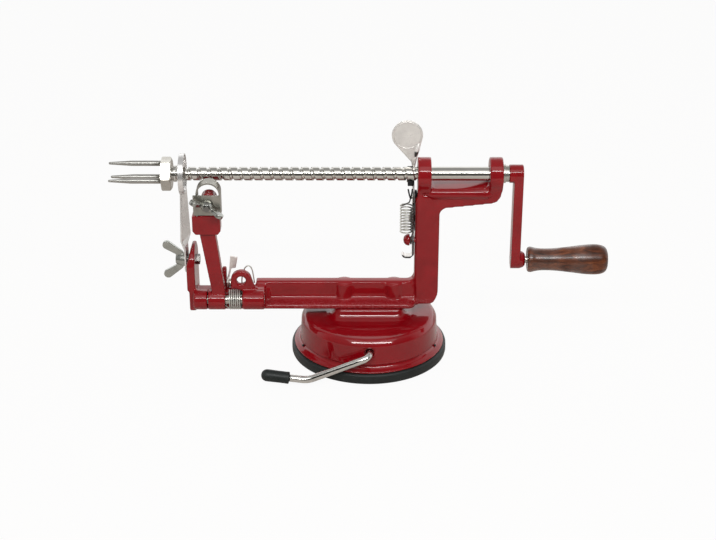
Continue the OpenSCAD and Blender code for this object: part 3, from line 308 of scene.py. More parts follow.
# %% Metal finish
def bright_metal(
    name, light, shade, rough, grain, line_depth, edge_radius=0.0003, metallic=1.0, edge_wear_and_shade_tone=1.1
):
    material, tree, shader, where = new_material(name)
    edges = place_group(tree, broken_edges, Radius=edge_radius, Vector=where)
    smudge = place_group(tree, handling, Vector=where, Size=90.0)["Smudge"]
    lines = place_group(tree, tool_lines, Vector=where, Grain=grain)["Lines"]
    # Above 1 the edge tone lightens worn edges; below 1 it lays painted shade along them
    in_lines, edge_wear_and_shade_colour = [0.72 * c for c in shade], [min(1, edge_wear_and_shade_tone * c) for c in light]
    colour = mix_colours(tree, smudge, rgba(*light), rgba(*shade))
    colour = mix_colours(tree, times(tree, lines, 0.22), colour, rgba(*in_lines))
    colour = mix_colours(tree, times(tree, edges["Edge"], 0.5), colour, rgba(*edge_wear_and_shade_colour))
    low, high = rough
    smudged = stretch(tree, smudge, 0.0, 1.0, low, high)
    roughness = sums(tree, "ADD", smudged, times(tree, lines, 0.25 * (high - low)))
    normal = bumped(tree, lines, line_depth, Normal=edges["Normal"])
    feed(tree, shader, Base_Color=colour, Roughness=roughness, Normal=normal, Metallic=metallic)
    return material


# %% Bars, wire and bolts
ACROSS_X = (9000.0, 300.0, 300.0)
ALONG_Z = (5200.0, 5200.0, 160.0)
EVEN = (2600.0, 2600.0, 2600.0)
screw_bar = bright_metal(
    "screw_bar_steel", (0.66, 0.65, 0.615), (0.55, 0.535, 0.50), (0.06, 0.1), ACROSS_X, 1e-6
)
ground_pin = bright_metal(
    "ground_pin_steel", (0.46, 0.455, 0.43), (0.38, 0.375, 0.35), (0.34, 0.42), ACROSS_X, 2e-6, 1e-4
)
nickel = bright_metal(
    "nickel_plate", (0.58, 0.565, 0.52), (0.46, 0.44, 0.395), (0.2, 0.3), EVEN, 3e-6
)
galvanised = bright_metal(
    "galvanised_nut", (0.46, 0.47, 0.44), (0.34, 0.35, 0.325), (0.2, 0.3), EVEN, 4e-6
)
dull_bolt = bright_metal(
    "dull_bolt_steel", (0.26, 0.255, 0.24), (0.18, 0.175, 0.165), (0.3, 0.42), EVEN, 3e-6
)
spring_wire = bright_metal(
    "spring_wire", (0.66, 0.655, 0.61), (0.54, 0.535, 0.495), (0.28, 0.38), EVEN, 1e-6, 1e-4, 0.65
)
chrome = bright_metal(
    "bright_chrome", (0.74, 0.73, 0.695), (0.64, 0.63, 0.60), (0.17, 0.23), EVEN, 1e-7
)
blackened = bright_metal(
    "blackened_steel", (0.05, 0.05, 0.052), (0.03, 0.03, 0.031), (0.35, 0.5), EVEN, 4e-6
)

# %% Plate and sheet
zinc = bright_metal(
    "zinc_plate", (0.92, 0.90, 0.865), (0.80, 0.78, 0.75), (0.26, 0.38), ALONG_Z, 4e-6, 2e-4, 0.6
)
# Its edge tone of 0.22 lays painted shade along the sheet's edges
corer_sheet_edge_shade = bright_metal(
    "corer_sheet_edge_shade", (0.86, 0.85, 0.84), (0.74, 0.73, 0.72), (0.2, 0.3), ALONG_Z, 4e-6, 5e-4, 0.85, 0.22
)
blade_sheet = bright_metal(
    "blade_sheet", (0.42, 0.41, 0.37), (0.31, 0.30, 0.265), (0.26, 0.38), ALONG_Z, 4e-6, 2e-4
)

# %% [markdown]
# ## Metals with painted shade
# Four metals are the ones above with painted shade laid over them by place: where the surface is, or
# which way it faces. One helper mixes the dark colour in, and each metal says how much goes where. On
# the lever's slope the dark line along its front, up to the bend, is a painted reflection of the dark
# table.


# %% Lay painted shade over a metal
def paint_shade_and_reflection(material, dark, share_of_dark, name=None):
    """Mixes painted shade into the base colour, or into that of a copy if there is a name for one."""
    if name:
        material = material.copy()
        material.name = name
    tree = material.node_tree
    shader = next(n for n in tree.nodes if n.type == "BSDF_PRINCIPLED")
    clean = shader.inputs["Base Color"].links[0].from_socket
    place = part_of(tree, put(tree, "TexCoord").outputs["Object"])
    feed(tree, shader, Base_Color=mix_colours(tree, share_of_dark(tree, place), clean, rgba(*dark)))
    print("dark in one place:", material.name)
    return material


# A painted reflection of the dark table: a dark line along the lever's slope, from the cap to the bend
def painted_table_reflection(tree, place):
    up = part_of(tree, put(tree, "NewGeometry").outputs["Normal"])["Z"]
    in_line = times(tree, stretch(tree, up, 0.2, 0.34), stretch(tree, up, 0.68, 0.56))
    from_cap = stretch(tree, place["X"], -0.049, -0.040)
    to_bend = stretch(tree, place["X"], -0.0060, -0.0085)
    return times(tree, in_line, times(tree, from_cap, to_bend))


paint_shade_and_reflection(chrome, (0.012, 0.0115, 0.009), painted_table_reflection)

# %% [markdown]
# The latch spring's wire gets painted shade on its side towards the post and on its top coils.


# %% Painted shade on the spring wire
def spring_painted_shade(tree, place):
    towards_post = stretch(tree, place["X"], 0.0258, 0.0282)
    top_coils = stretch(tree, place["Z"], 0.1142, 0.1156)
    return times(tree, sums(tree, "MAXIMUM", towards_post, top_coils), 0.88)


shaded_spring_wire = paint_shade_and_reflection(spring_wire, (0.035, 0.028, 0.026), spring_painted_shade, "spring_wire_painted_shade")

# %% [markdown]
# The release plate is zinc. Below the neck, its surfaces that face the user get painted shade. The fold
# at its neck is nearly non-metallic pale zinc above, a painted highlight, with painted shade below.

# %% Plate with painted shade on its edges
EDGE_Z = 0.131
PAINTED_SHADE_COLOUR = (0.05, 0.048, 0.046)


# Painted shade on faces that look to the front, below the neck
def front_edge_painted_shade(tree, place):
    facing = part_of(tree, put(tree, "NewGeometry").outputs["True Normal"])["Y"]
    below = stretch(tree, place["Z"], EDGE_Z, EDGE_Z - 0.003)
    return times(tree, stretch(tree, facing, -0.45, -0.75), below)


# Painted shade below the fold's crease
def fold_painted_shade(tree, place):
    return stretch(tree, place["Z"], 0.1478, 0.1468)


plate_zinc_painted_shade = paint_shade_and_reflection(zinc, PAINTED_SHADE_COLOUR, front_edge_painted_shade, "zinc_plate_painted_shade")
fold_zinc_painted_light = paint_shade_and_reflection(zinc, PAINTED_SHADE_COLOUR, fold_painted_shade, "zinc_fold_painted_light")
# Nearly non-metallic, the pale zinc renders white above the crease: a painted highlight
fold_shader = next(n for n in fold_zinc_painted_light.node_tree.nodes if n.type == "BSDF_PRINCIPLED")
fold_shader.inputs["Metallic"].default_value = 0.15

# %% [markdown]
# ## Rubber
# The suction pad and the lever's cap are black rubber. Fresh rubber isn't black paint: it scatters
# light in a satin sheen, keeps a little pale dust in its pores and greys slightly where it rubs.

# %% Rubber finish
rubber, tree, shader, where = new_material("black_rubber")
edges = place_group(tree, broken_edges, Radius=0.0006, Vector=where)
hands = place_group(tree, handling, Vector=where, Size=120.0)
pores = place_group(tree, cast_skin, Vector=where, Size=3200.0)["Height"]
black = mix_colours(tree, hands["Smudge"], rgba(0.008, 0.0105, 0.0100), rgba(0.016, 0.020, 0.019))
rubbed = mix_colours(tree, times(tree, edges["Edge"], 0.5), black, rgba(0.05, 0.055, 0.055))
dusty = mix_colours(tree, times(tree, hands["Dust"], 0.3), rubbed, rgba(0.12, 0.125, 0.12))
satin = stretch(tree, hands["Smudge"], 0.0, 1.0, 0.38, 0.55)
pored = bumped(tree, pores, 8e-6, Normal=edges["Normal"])
feed(tree, shader, Base_Color=dusty, Roughness=satin, Normal=pored, Specular_IOR_Level=0.3)

# %% [markdown]
# ## Dark turned wood
# The grip is a close-grained hardwood stained a reddish brown and varnished. Its grain runs along the
# grip, so every pattern is stretched along X: broad bands of light and dark growth, thin dark pore
# streaks, and a colour that shifts slowly. The varnish is a clear coat over a duller wood, and it lies
# thicker in some places than in others.

# %% Wood finish
wood, tree, shader, where = new_material("dark_turned_wood")
growth = grain_noise(tree, where, (62.0, 210.0, 210.0), Detail=4.0, Roughness=0.6, Distortion=1.1)
streaks = grain_noise(tree, where, (110.0, 1500.0, 1500.0), Detail=3.0, Roughness=0.6)
pores = grain_noise(tree, where, (420.0, 5200.0, 5200.0), Detail=2.0)
bands = put(tree, "ValToRGB", {"Fac": growth})
ramp = bands.color_ramp
ramp.elements[0].position, ramp.elements[0].color = 0.32, rgba(0.026, 0.011, 0.006)
ramp.elements[1].position, ramp.elements[1].color = 0.70, rgba(0.215, 0.066, 0.024)
ramp.elements.new(0.50).color = rgba(0.095, 0.026, 0.010)
streak_share = stretch(tree, streaks, 0.46, 0.7, 0.0, 0.4)
pore_share = stretch(tree, pores, 0.58, 0.7, 0.0, 0.45)
streaked = mix_colours(tree, streak_share, bands.outputs[0], rgba(0.040, 0.014, 0.009))
pored = mix_colours(tree, pore_share, streaked, rgba(0.016, 0.007, 0.005))
wood_rough = stretch(tree, streaks, 0.3, 0.7, 0.3, 0.45)
wood_relief = bumped(tree, sums(tree, "SUBTRACT", streaks, pores), 3e-5)
feed(tree, shader, Base_Color=pored, Roughness=wood_rough, Normal=wood_relief)

# %% Varnish on the wood
varnish_noise = grain_noise(tree, where, (85.0, 25.0, 25.0), Detail=1.0)
varnish = stretch(tree, varnish_noise, 0.42, 0.55, 0.25, 1.0)
feed(tree, shader, Coat_Weight=varnish, Coat_Roughness=0.25, Coat_IOR=1.6, Specular_IOR_Level=0.1)
print("varnish on", wood.name)

# %% [markdown]
# ## Finishes on the CAD nodes
# Most CAD nodes already have the right shape, so they keep it and only get a finish. The table says
# which material each node wears.

# %% Dress the CAD nodes
FINISHES = {
    frame_red: ["frame_casting", "peel_arm", "crank_arm", "latch_stud"],
    base_red: ["base_shell"],
    rubber: ["suction_pad", "lever_cap"],
    nickel: [
        "base_screws", "arm_pivot_pin", "latch_pivot_screw", "arm_latch_bolt", "thrust_washer",
        "crank_pin", "grip_spindle", "half_nut_rivets", "lever_cam", "pull_stem", "fork_hub",
    ],
    screw_bar: ["feed_screw", "drive_shaft", "fork_neck", "fork_prongs"],
    zinc: ["arm_latch"],
    # The release plate's zinc carries painted shade on its front-facing surfaces below the neck
    plate_zinc_painted_shade: ["release_plate"],
    corer_sheet_edge_shade: ["coring_blade"],
    dull_bolt: ["coring_bolt", "peel_blade_bolt"],
    galvanised: ["peel_wing_nut", "coring_wing_nut"],
    blade_sheet: ["peel_blade"],
    spring_wire: ["latch_spring", "arm_spring"],
    chrome: ["suction_lever"],
    blackened: ["half_nut"],
    wood: ["wooden_grip"],
}
for finish, names in FINISHES.items():
    for node_name in names:
        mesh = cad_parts[node_name].data
        mesh.materials.clear()
        mesh.materials.append(finish)
undressed = set(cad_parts) - {n for names in FINISHES.values() for n in names}
print("nodes without a finish:", sorted(undressed))

# %% [markdown]
# ## Soft edges on castings
# Molten metal doesn't fill a sharp corner, and enamel rounds what is left. Bevelling a CAD mesh with
# its long thin triangles tends to tear it, so the castings are remeshed instead: a fine even net is
# laid over the solid and relaxed a few times, which rounds each edge by about the size of a cell and
# leaves flats flat. The release plate takes it too. It is a modifier, so the CAD mesh stays as it is.

# %% Remesh the castings
# The size of a cell in millimetres, and how often the net is relaxed
CAST_NODES = {
    "frame_casting": (0.75, 5),
    "base_shell": (0.68, 3),
    "peel_arm": (0.5, 4),
    "crank_arm": (0.5, 4),
    "latch_stud": (0.3, 3),
    "peel_wing_nut": (0.25, 4),
    "coring_wing_nut": (0.25, 4),
    "release_plate": (0.3, 3),
}
for node_name, (cell, passes) in CAST_NODES.items():
    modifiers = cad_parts[node_name].modifiers
    net = modifiers.new("even_net", "REMESH")
    net.mode = "VOXEL"
    net.voxel_size = cell * MM
    net.use_smooth_shade = True
    relax = modifiers.new("relaxed_edges", "SMOOTH")
    relax.factor = 0.5
    relax.iterations = passes
print("softened:", ", ".join(CAST_NODES))


# %% [markdown]
# ## Tools for making pieces
# Four small workshops make the new pieces. The outline smoother puts a soft curve through a few
# measured points, as a turner's eye does. The lathe turns an outline round an axis. The wire bender
# sweeps a circle along a line of points, and keeps it from twisting. The net maker spans faces between
# rings of points. All of them work in millimetres.


# %% Angles and smooth lines
def angles(count, first=0.0, last=360.0):
    """The angles from first to last in count equal steps, given in degrees and returned in radians."""
    return [math.radians(first + (last - first) * k / count) for k in range(count + 1)]


def around(a, b, radius, angle):
    """The two coordinates of a point on a circle round (a, b)."""
    return a + radius * math.cos(angle), b + radius * math.sin(angle)


def corner(shape, *place):
    """Adds a point to the bmesh; its place is given in millimetres."""
    return shape.verts.new([c * MM for c in place])


def smooth_line(points, steps=5):
    """A soft curve through the points: a Catmull-Rom spline with steps points on each stretch."""
    points = [Vector(p) for p in points]
    ends = [2 * points[0] - points[1], *points, 2 * points[-1] - points[-2]]
    curve = []
    for before, here, there, after in zip(ends, ends[1:], ends[2:], ends[3:]):
        speed = there - before
        bend = 2 * before - 5 * here + 4 * there - after
        twist = 3 * here - before - 3 * there + after
        for t in [step / steps for step in range(steps)]:
            curve.append(0.5 * (2 * here + speed * t + bend * t * t + twist * t**3))
    curve.append(points[-1])
    return curve


# %% Lathe
WELD_M = 1e-7


def round_axis(axis):
    """Two directions square to the axis and to each other."""
    side = axis.orthogonal().normalized() if abs(axis.x) < 0.9 else Vector((0, 1, 0))
    return side, axis.cross(side)


def turn_outline(outline, start=(0, 0, 0), axis=(0, 0, 1), steps=64, arc=(0.0, 360.0), shape=None):
    """What a lathe makes of (distance, radius) pairs along an axis, as a new bmesh or added to one."""
    shape = shape or bmesh.new()
    axis = Vector(axis).normalized()
    side, up = round_axis(axis)
    whole = arc[1] - arc[0] == 360
    columns = steps if whole else steps + 1
    rings = []
    for distance, radius in outline:
        centre = Vector(start) + axis * distance
        if radius == 0 and whole:
            rings.append([shape.verts.new(centre * MM)])
            continue
        spokes = [math.cos(a) * side + math.sin(a) * up for a in angles(steps, *arc)[:columns]]
        rings.append([shape.verts.new((centre + radius * spoke) * MM) for spoke in spokes])
    for one, two in zip(rings, rings[1:]):
        for k in range(steps):
            after = (k + 1) % columns
            # A ring of one point is a pole, where a face has one corner less
            corners = [one[0]] if len(one) == 1 else [one[k]]
            corners += [two[0]] if len(two) == 1 else [two[k], two[after]]
            corners += [one[after]] if len(one) > 1 else []
            if len(corners) > 2:
                shape.faces.new(corners)
    return shape


def weld(shape):
    bmesh.ops.remove_doubles(shape, verts=shape.verts, dist=WELD_M)
    return shape


# %% Net maker and wire bender
def close_tube(shape, rings):
    """Spans faces between rings of as many points each, and closes both ends."""
    for one, two in zip(rings, rings[1:]):
        for k in range(len(one)):
            after = (k + 1) % len(one)
            shape.faces.new((one[k], one[after], two[after], two[k]))
    shape.faces.new(rings[0][::-1])
    shape.faces.new(rings[-1])


def sweep_wire(points, radius, sides):
    """A round wire along the points, with a small dome at each end."""
    shape = bmesh.new()
    points = [Vector(p) for p in points]
    ends = [points[0], *points, points[-1]]
    tangents = [(after - before).normalized() for before, after in zip(ends, ends[2:])]
    dome, dome_r = 0.45 * radius, 0.55 * radius
    stations = [(points[0] - tangents[0] * dome, tangents[0], dome_r)]
    stations += [(p, t, radius) for p, t in zip(points, tangents)]
    stations += [(points[-1] + tangents[-1] * dome, tangents[-1], dome_r)]
    normal = tangents[0].orthogonal().normalized()
    rings = []
    for centre, tangent, size in stations:
        normal = (normal - tangent * normal.dot(tangent)).normalized()
        across = tangent.cross(normal)
        spokes = [math.cos(a) * normal + math.sin(a) * across for a in angles(sides)[:-1]]
        rings.append([shape.verts.new((centre + size * spoke) * MM) for spoke in spokes])
    close_tube(shape, rings)
    return shape


# %% Make a piece
def new_piece(name, shape, material, body, replaces=()):
    """Turns a bmesh into a smooth piece that rides on a CAD body, or on none if no body is given."""
    bmesh.ops.recalc_face_normals(shape, faces=shape.faces)
    mesh = bpy.data.meshes.new(name)
    shape.to_mesh(mesh)
    shape.free()
    mesh.shade_smooth()
    mesh.materials.append(material)
    piece = bpy.data.objects.new(name, mesh)
    bpy.context.scene.collection.objects.link(piece)
    if body:
        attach(piece, body)
    if replaces:
        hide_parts(*replaces)
    print(f"{name}: {len(mesh.polygons)} faces")
    return piece


# %% [markdown]
# ## The feed screw's thread
# The thread is one helical groove that a half nut's tooth runs in. A boolean cut with a helix would
# give slivers, so the net is laid along the helix from the start: one row of points goes from groove to
# groove, and turning it while it advances draws the whole thread, with rounded groove edges.

# %% Lay the thread's rows
SHAFT_Z = 134.6
SHAFT_R = 4.69
LEAD = 7.0
TOOTH_X = 28.0
THREAD_FROM, THREAD_TO = -130.6, 33.0
GROOVE_DEPTH = 1.0
STEPS_A_TURN = 36
# Distance from the groove's middle, and the share of its depth there
GROOVE = [
    (0.0, 1.0), (0.5, 1.0), (0.72, 0.96), (0.86, 0.82), (1.02, 0.45), (1.14, 0.16), (1.26, 0.04),
    (1.45, 0.0), (2.1, 0.0), (2.8, 0.0), (3.5, 0.0),
]
groove_row = [(-d, share) for d, share in GROOVE[:0:-1]] + GROOVE[:-1]
thread = bmesh.new()
first_step = round((THREAD_FROM - TOOTH_X) / LEAD * STEPS_A_TURN) - STEPS_A_TURN
last_step = round((THREAD_TO - TOOTH_X) / LEAD * STEPS_A_TURN) + STEPS_A_TURN
thread_rows = []
for step in range(first_step, last_step + 1):
    angle = 2 * math.pi * step / STEPS_A_TURN
    row = []
    for offset, share in groove_row:
        radius = SHAFT_R - GROOVE_DEPTH * share
        x = TOOTH_X + LEAD * step / STEPS_A_TURN + offset
        row.append(corner(thread, x, *around(0, SHAFT_Z, radius, angle)))
    thread_rows.append(row)
print("thread:", len(thread_rows), "rows of", len(groove_row), "points")

# %% Close the thread
for here, there in zip(thread_rows, thread_rows[1:]):
    for k in range(len(here) - 1):
        thread.faces.new((here[k], here[k + 1], there[k + 1], there[k]))
# The last point of a row meets the first point of the row one turn further on
for i in range(len(thread_rows) - STEPS_A_TURN - 1):
    here, there = thread_rows[i], thread_rows[i + 1]
    far, farther = thread_rows[i + STEPS_A_TURN], thread_rows[i + STEPS_A_TURN + 1]
    thread.faces.new((here[-1], far[0], farther[0], there[-1]))
for cut_x, outward in ((THREAD_FROM, -1), (THREAD_TO, 1)):
    everything = thread.verts[:] + thread.edges[:] + thread.faces[:]
    plane = {"plane_co": (cut_x * MM, 0, 0), "plane_no": (outward, 0, 0)}
    cut = bmesh.ops.bisect_plane(thread, geom=everything, clear_outer=True, **plane)
    cut_rim = [e for e in cut["geom_cut"] if isinstance(e, bmesh.types.BMEdge)]
    bmesh.ops.contextual_create(thread, geom=cut_rim)
new_piece("feed_thread", thread, screw_bar, "screw", ["feed_screw"])

# %% [markdown]
# ## The fruit prongs
# Three steel pins hold the fruit. They are ground to a long taper with a blunt tip. Each is turned on
# the lathe; the taper starts at a visible edge, so its outline stays straight there and isn't smoothed.

# %% Turn the prongs
HUB_X = -142.0
PRONG_R = 1.85
PRONG_CIRCLE = 7.3
PRONG_OUTLINE = [
    (-36.0, 0.0), (-35.95, 0.35), (-35.8, 0.62), (-35.5, 0.8), (-35.0, 0.9), (-28.0, 1.35),
    (-21.2, PRONG_R - 0.03), (-20.9, PRONG_R), (-10.0, PRONG_R), (4.6, PRONG_R), (4.6, 0.0),
]
prongs = bmesh.new()
for angle in angles(2, 81, 321):
    root = (HUB_X, *around(0, SHAFT_Z, PRONG_CIRCLE, angle))
    turn_outline(PRONG_OUTLINE, root, (1, 0, 0), 28, shape=prongs)
new_piece("fruit_prongs", prongs, ground_pin, "screw", ["fork_prongs"])

# %% [markdown]
# ## The shelf between the lugs
# Under the plain shaft the casting has a shelf. It reaches back as far as the lugs do, its front edge
# is a thick round bead with a hollow below it, and at the right it curves up into the rear lug. One
# cross section is drawn at many places along the shaft, and its height and roundness change on the way.

# %% Measure the shelf's cross section
SHELF_TOP = 125.5
SHELF_FROM, SHELF_TO, SHELF_STEPS = 37.6, 86.4, 60
LUG_INSIDE, LUG_OUTSIDE = 42.2, 82.0
SHELF_FRONT, SHELF_BACK = -8.0, 11.0
# The hollow under the bead: how far behind the front, and how far below the top
HOLLOW = [(0.02, 4.7), (0.3, 5.3), (0.9, 5.9), (1.5, 6.7), (1.9, 7.6)]


def share_past(x, first, last):
    return min(1.0, max(0.0, (x - first) / (last - first)))


def shelf_section(x):
    """The cross section at x, as (y, z) points in millimetres."""
    right, left_end = share_past(x, 58.0, LUG_OUTSIDE), share_past(x, 46.0, LUG_INSIDE)
    fade = max(share_past(x, 44.0, 39.0), share_past(x, 79.5, 85.0))
    top = SHELF_TOP + 3.8 * right**2 + 1.2 * left_end**2
    front = SHELF_FRONT + 2.4 * fade**2
    back = SHELF_BACK - max(0.0, LUG_INSIDE - x) - max(0.0, x - LUG_OUTSIDE)
    bead = min(3.5 + 9.5 * right**2 + 2.0 * left_end**2, back - front - 2.0)
    bead_drop = 3.5 + 4.8 * right**2 + 1.6 * left_end**2
    section = [(back - 0.8, SHELF_TOP - 3.2), (back, SHELF_TOP - 2.6), (back, top - 1.0)]
    section += [(back - 0.3, top - 0.3), (back - 1.0, top), (back - 1.5, top)]
    for a in angles(10, 90, 180):
        section.append((front + bead * (1 + math.cos(a)), top + bead_drop * (math.sin(a) - 1)))
    section += [(front + behind, SHELF_TOP - below) for behind, below in HOLLOW]
    section += [(-5.4, SHELF_TOP - 8.2), (4.6, SHELF_TOP - 8.2), (5.4, SHELF_TOP - 3.4)]
    return section


print("points round the shelf:", len(shelf_section(SHELF_FROM)))

# %% Cast the shelf
shelf = bmesh.new()
shelf_rings = []
for k in range(SHELF_STEPS + 1):
    x = SHELF_FROM + (SHELF_TO - SHELF_FROM) * k / SHELF_STEPS
    shelf_rings.append([corner(shelf, x, y, z) for y, z in shelf_section(x)])
close_tube(shelf, shelf_rings)
new_piece("cradle_shelf", shelf, frame_red, "frame")

# %% [markdown]
# ## The wooden grip
# The grip swells towards its end to fill the palm, and flares a little at the crank so that the hand
# doesn't slide off. Its outline is measured in shares of length and girth, a soft curve goes through
# the points, and the lathe turns it. A recess in the end shows the head of the spindle.

# %% Turn the grip
CRANK_Z = 70.0
GRIP_X, GRIP_LONG, GRIP_BIG = 110.8, 56.0, 10.6
GRIP_BORE = 2.6
RECESS_FLOOR = GRIP_LONG - 4
GRIP_SHAPE = [
    (0.0, 0.74), (0.008, 0.80), (0.028, 0.842), (0.055, 0.832), (0.1, 0.772), (0.16, 0.732),
    (0.24, 0.722), (0.34, 0.745), (0.45, 0.8), (0.56, 0.87), (0.66, 0.94), (0.75, 0.985), (0.82, 1.0),
    (0.88, 0.988), (0.93, 0.94), (0.965, 0.855), (0.988, 0.72), (1.0, 0.56),
]
grip_line = smooth_line([(GRIP_LONG * a, GRIP_BIG * b, 0) for a, b in GRIP_SHAPE], 6)
grip_outline = [(0.0, GRIP_BORE), *[(min(p.x, GRIP_LONG), min(p.y, GRIP_BIG)) for p in grip_line]]
grip_outline += [(GRIP_LONG, 5.0), (GRIP_LONG - 0.3, 4.72)]
grip_outline += [(RECESS_FLOOR, 4.7), (RECESS_FLOOR, GRIP_BORE)]
grip = bmesh.new()
for outline in (grip_outline, [(0.0, GRIP_BORE), (RECESS_FLOOR, GRIP_BORE)]):
    turn_outline(outline, (GRIP_X, 0, CRANK_Z), (1, 0, 0), 72, shape=grip)
new_piece("turned_grip", weld(grip), wood, "grip", ["wooden_grip"])

# %% [markdown]
# ## The latch spring
# A close coil pulls the release plate towards the thread. Its lower end loops round the red stud, and
# its upper end hooks into the plate. It is wound as a line of points and swept as round wire. The plate
# moves and the stud doesn't; the wire rides on no body.

# %% Wind the latch spring
PLATE_X = 29.7
COIL_X, COIL_Y, COIL_R = PLATE_X - 3.9, -6.6, 4.4
COIL_FROM, COIL_TO, COIL_TURNS, COIL_STEPS = 93.6, 113.6, 9.5, 28
coil_steps = round(COIL_TURNS * COIL_STEPS)
coil = []
for k in range(coil_steps + 1):
    angle = 2 * math.pi * k / COIL_STEPS
    height = COIL_FROM + (COIL_TO - COIL_FROM) * k / coil_steps
    coil.append((*around(COIL_X, COIL_Y, COIL_R, angle), height))
print("coil:", len(coil), "points")

# %% Bend the latch spring's ends
STUD_Y, STUD_Z = -3.0, 86.5
LOOP_X, LOOP_R = PLATE_X - 0.8, 2.9
lower_loop = [(LOOP_X, *around(STUD_Y, STUD_Z, LOOP_R, a)) for a in angles(18, 20, -178)]
riser = [
    lower_loop[-1],
    (LOOP_X, STUD_Y - LOOP_R - 0.1, STUD_Z + 2.2),
    (LOOP_X + 0.6, STUD_Y - LOOP_R - 0.3, STUD_Z + 4.6),
    (COIL_X + COIL_R, COIL_Y, COIL_FROM),
]
hook = [
    coil[-1],
    (COIL_X - 3.5, COIL_Y - 2.6, COIL_TO + 1.2),
    (COIL_X - 1.4, COIL_Y - 3.6, COIL_TO + 2.6),
    (COIL_X + 1.4, COIL_Y - 3.2, COIL_TO + 4),
    (PLATE_X - 1.4, -5.8, 118.7),
    (PLATE_X + 1.12, -5.9, 119.1),
]
latch_line = [*lower_loop, *smooth_line(riser)[1:-1], *coil, *smooth_line(hook)[1:]]
latch_wire = sweep_wire(latch_line, 0.5, 10)
# The wire wears painted shade towards the post and on its top coils
coil_piece = new_piece(
    "latch_spring_coil", latch_wire, shaded_spring_wire, None, ["latch_spring"]
)
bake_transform(coil_piece)

# %% [markdown]
# ## Pressed details of the release plate
# The round thumb tab has a raised ring near its edge, pressed in so that a thumb doesn't slip. Its neck
# is folded over at one side to stiffen it, and lower down a small tab is lanced out of the plate, where
# the spring hooks in.

# %% Press the thumb ring
THUMB_X, THUMB_Y, THUMB_Z = 26.0, 9.4, 159.0
THUMB_RING = 9.5
ring_xz = [around(THUMB_X, THUMB_Z, THUMB_RING, a) for a in angles(72)]
thumb_ring = sweep_wire([(x, THUMB_Y, z) for x, z in ring_xz], 0.32, 8)
new_piece("thumb_ring", thumb_ring, zinc, "release_latch")

# %% Fold the neck
FOLD_OUTLINE = [
    (0.0, 0.0), (0.15, 0.35), (1.0, 0.8), (2.4, 1.35), (4.0, 1.7), (5.4, 1.72), (7.2, 1.4), (9.0, 1.0),
    (10.4, 0.6), (10.8, 0.0),
]
# The fold wears zinc with a painted highlight above its crease and painted shade below
neck_fold = turn_outline(FOLD_OUTLINE, (34.0, 9.6, 153.4), (-2.5, 0, -10.4), 32)
new_piece("neck_fold", neck_fold, fold_zinc_painted_light, "release_latch")

# %% Lance the hook tab
TAB_TIP = (28.2, -6.0, 118.6)
tab_line = smooth_line([(29.4, -5.4, 125.4), (28.9, -5.7, 121.6), TAB_TIP])[:-1]
tab_line += smooth_line([TAB_TIP, (27.3, -6.3, 121.8), (26.5, -6.4, 125.6)])
new_piece("hook_tab", sweep_wire(tab_line, 0.55, 10), blackened, "release_latch")

# %% [markdown]
# A thin black sheet on the post's flank, beside the spring, is painted shade in the gap between the
# coil and the post.

# %% Painted shade pad
PAD_X = (31.25, 32.6)
PAD_OUTLINE = [
    (-2.6, 93.0), (2.0, 93.0), (2.8, 94.0), (2.8, 121.0), (2.0, 122.0), (-2.6, 122.0), (-3.4, 121.0),
    (-3.4, 94.0),
]
painted_shade_pad = bmesh.new()
close_tube(painted_shade_pad, [[corner(painted_shade_pad, x, y, z) for y, z in PAD_OUTLINE] for x in PAD_X])
new_piece("painted_shade_pad", painted_shade_pad, blackened, "frame")

# %% [markdown]
# ## The arm spring
# This torsion spring sits round the arm's pivot pin. One end is caught in the arm's hub and turns with
# it, and the other leans against the ear on the frame. A real torsion spring spreads its twist over the
# coils; here the wire rides on no body.

# %% Wind the arm spring
PIN_Y, PIN_Z = -16.0, 46.5
TORSION_R = 6.55
TORSION_FROM, TORSION_TO, TORSION_TURNS, TORSION_STEPS = -98.0, -89.4, 6.25, 32
torsion_steps = round(TORSION_TURNS * TORSION_STEPS)
torsion = []
for k in range(torsion_steps + 1):
    angle = 2 * math.pi * (k / TORSION_STEPS - TORSION_TURNS)
    x = TORSION_FROM + (TORSION_TO - TORSION_FROM) * k / torsion_steps
    torsion.append((x, *around(PIN_Y, PIN_Z, TORSION_R, angle)))
print("torsion coil:", len(torsion), "points")

# %% Bend the arm spring's ends
EAR_X, EAR_Z = -89.1, 60.4
HUB_FACE = -100.3
# The leg's way behind the ear and over its top
LEG = [
    (0.1, -8.4), (0.1, -2.4), (0.7, 2.6), (2.3, 7.0), (3.9, 8.8), (5.7, 8.9), (7.1, 7.2), (7.9, 4.0),
    (8.9, -4.0),
]
tang = [
    (HUB_FACE - 2.6, PIN_Y, PIN_Z - 5.1),
    (HUB_FACE + 0.3, PIN_Y, PIN_Z - 5.1),
    (HUB_FACE + 1.5, PIN_Y - 0.5, PIN_Z - 5.9),
    torsion[0],
]
leg = [torsion[-1], *[(EAR_X + x, PIN_Y + TORSION_R, EAR_Z + z) for x, z in LEG]]
arm_wire = sweep_wire([*smooth_line(tang, 4)[:-1], *torsion, *smooth_line(leg)[1:]], 0.45, 10)
torsion_piece = new_piece(
    "arm_spring_coil", arm_wire, spring_wire, None, ["arm_spring"]
)
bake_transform(torsion_piece)

# %% [markdown]
# ## The suction lever
# One chrome rod makes the axle, the elbow and the long slope down to the table. Chrome shows every
# facet, so the rod is swept afresh along the same line: straight runs joined by true arcs.


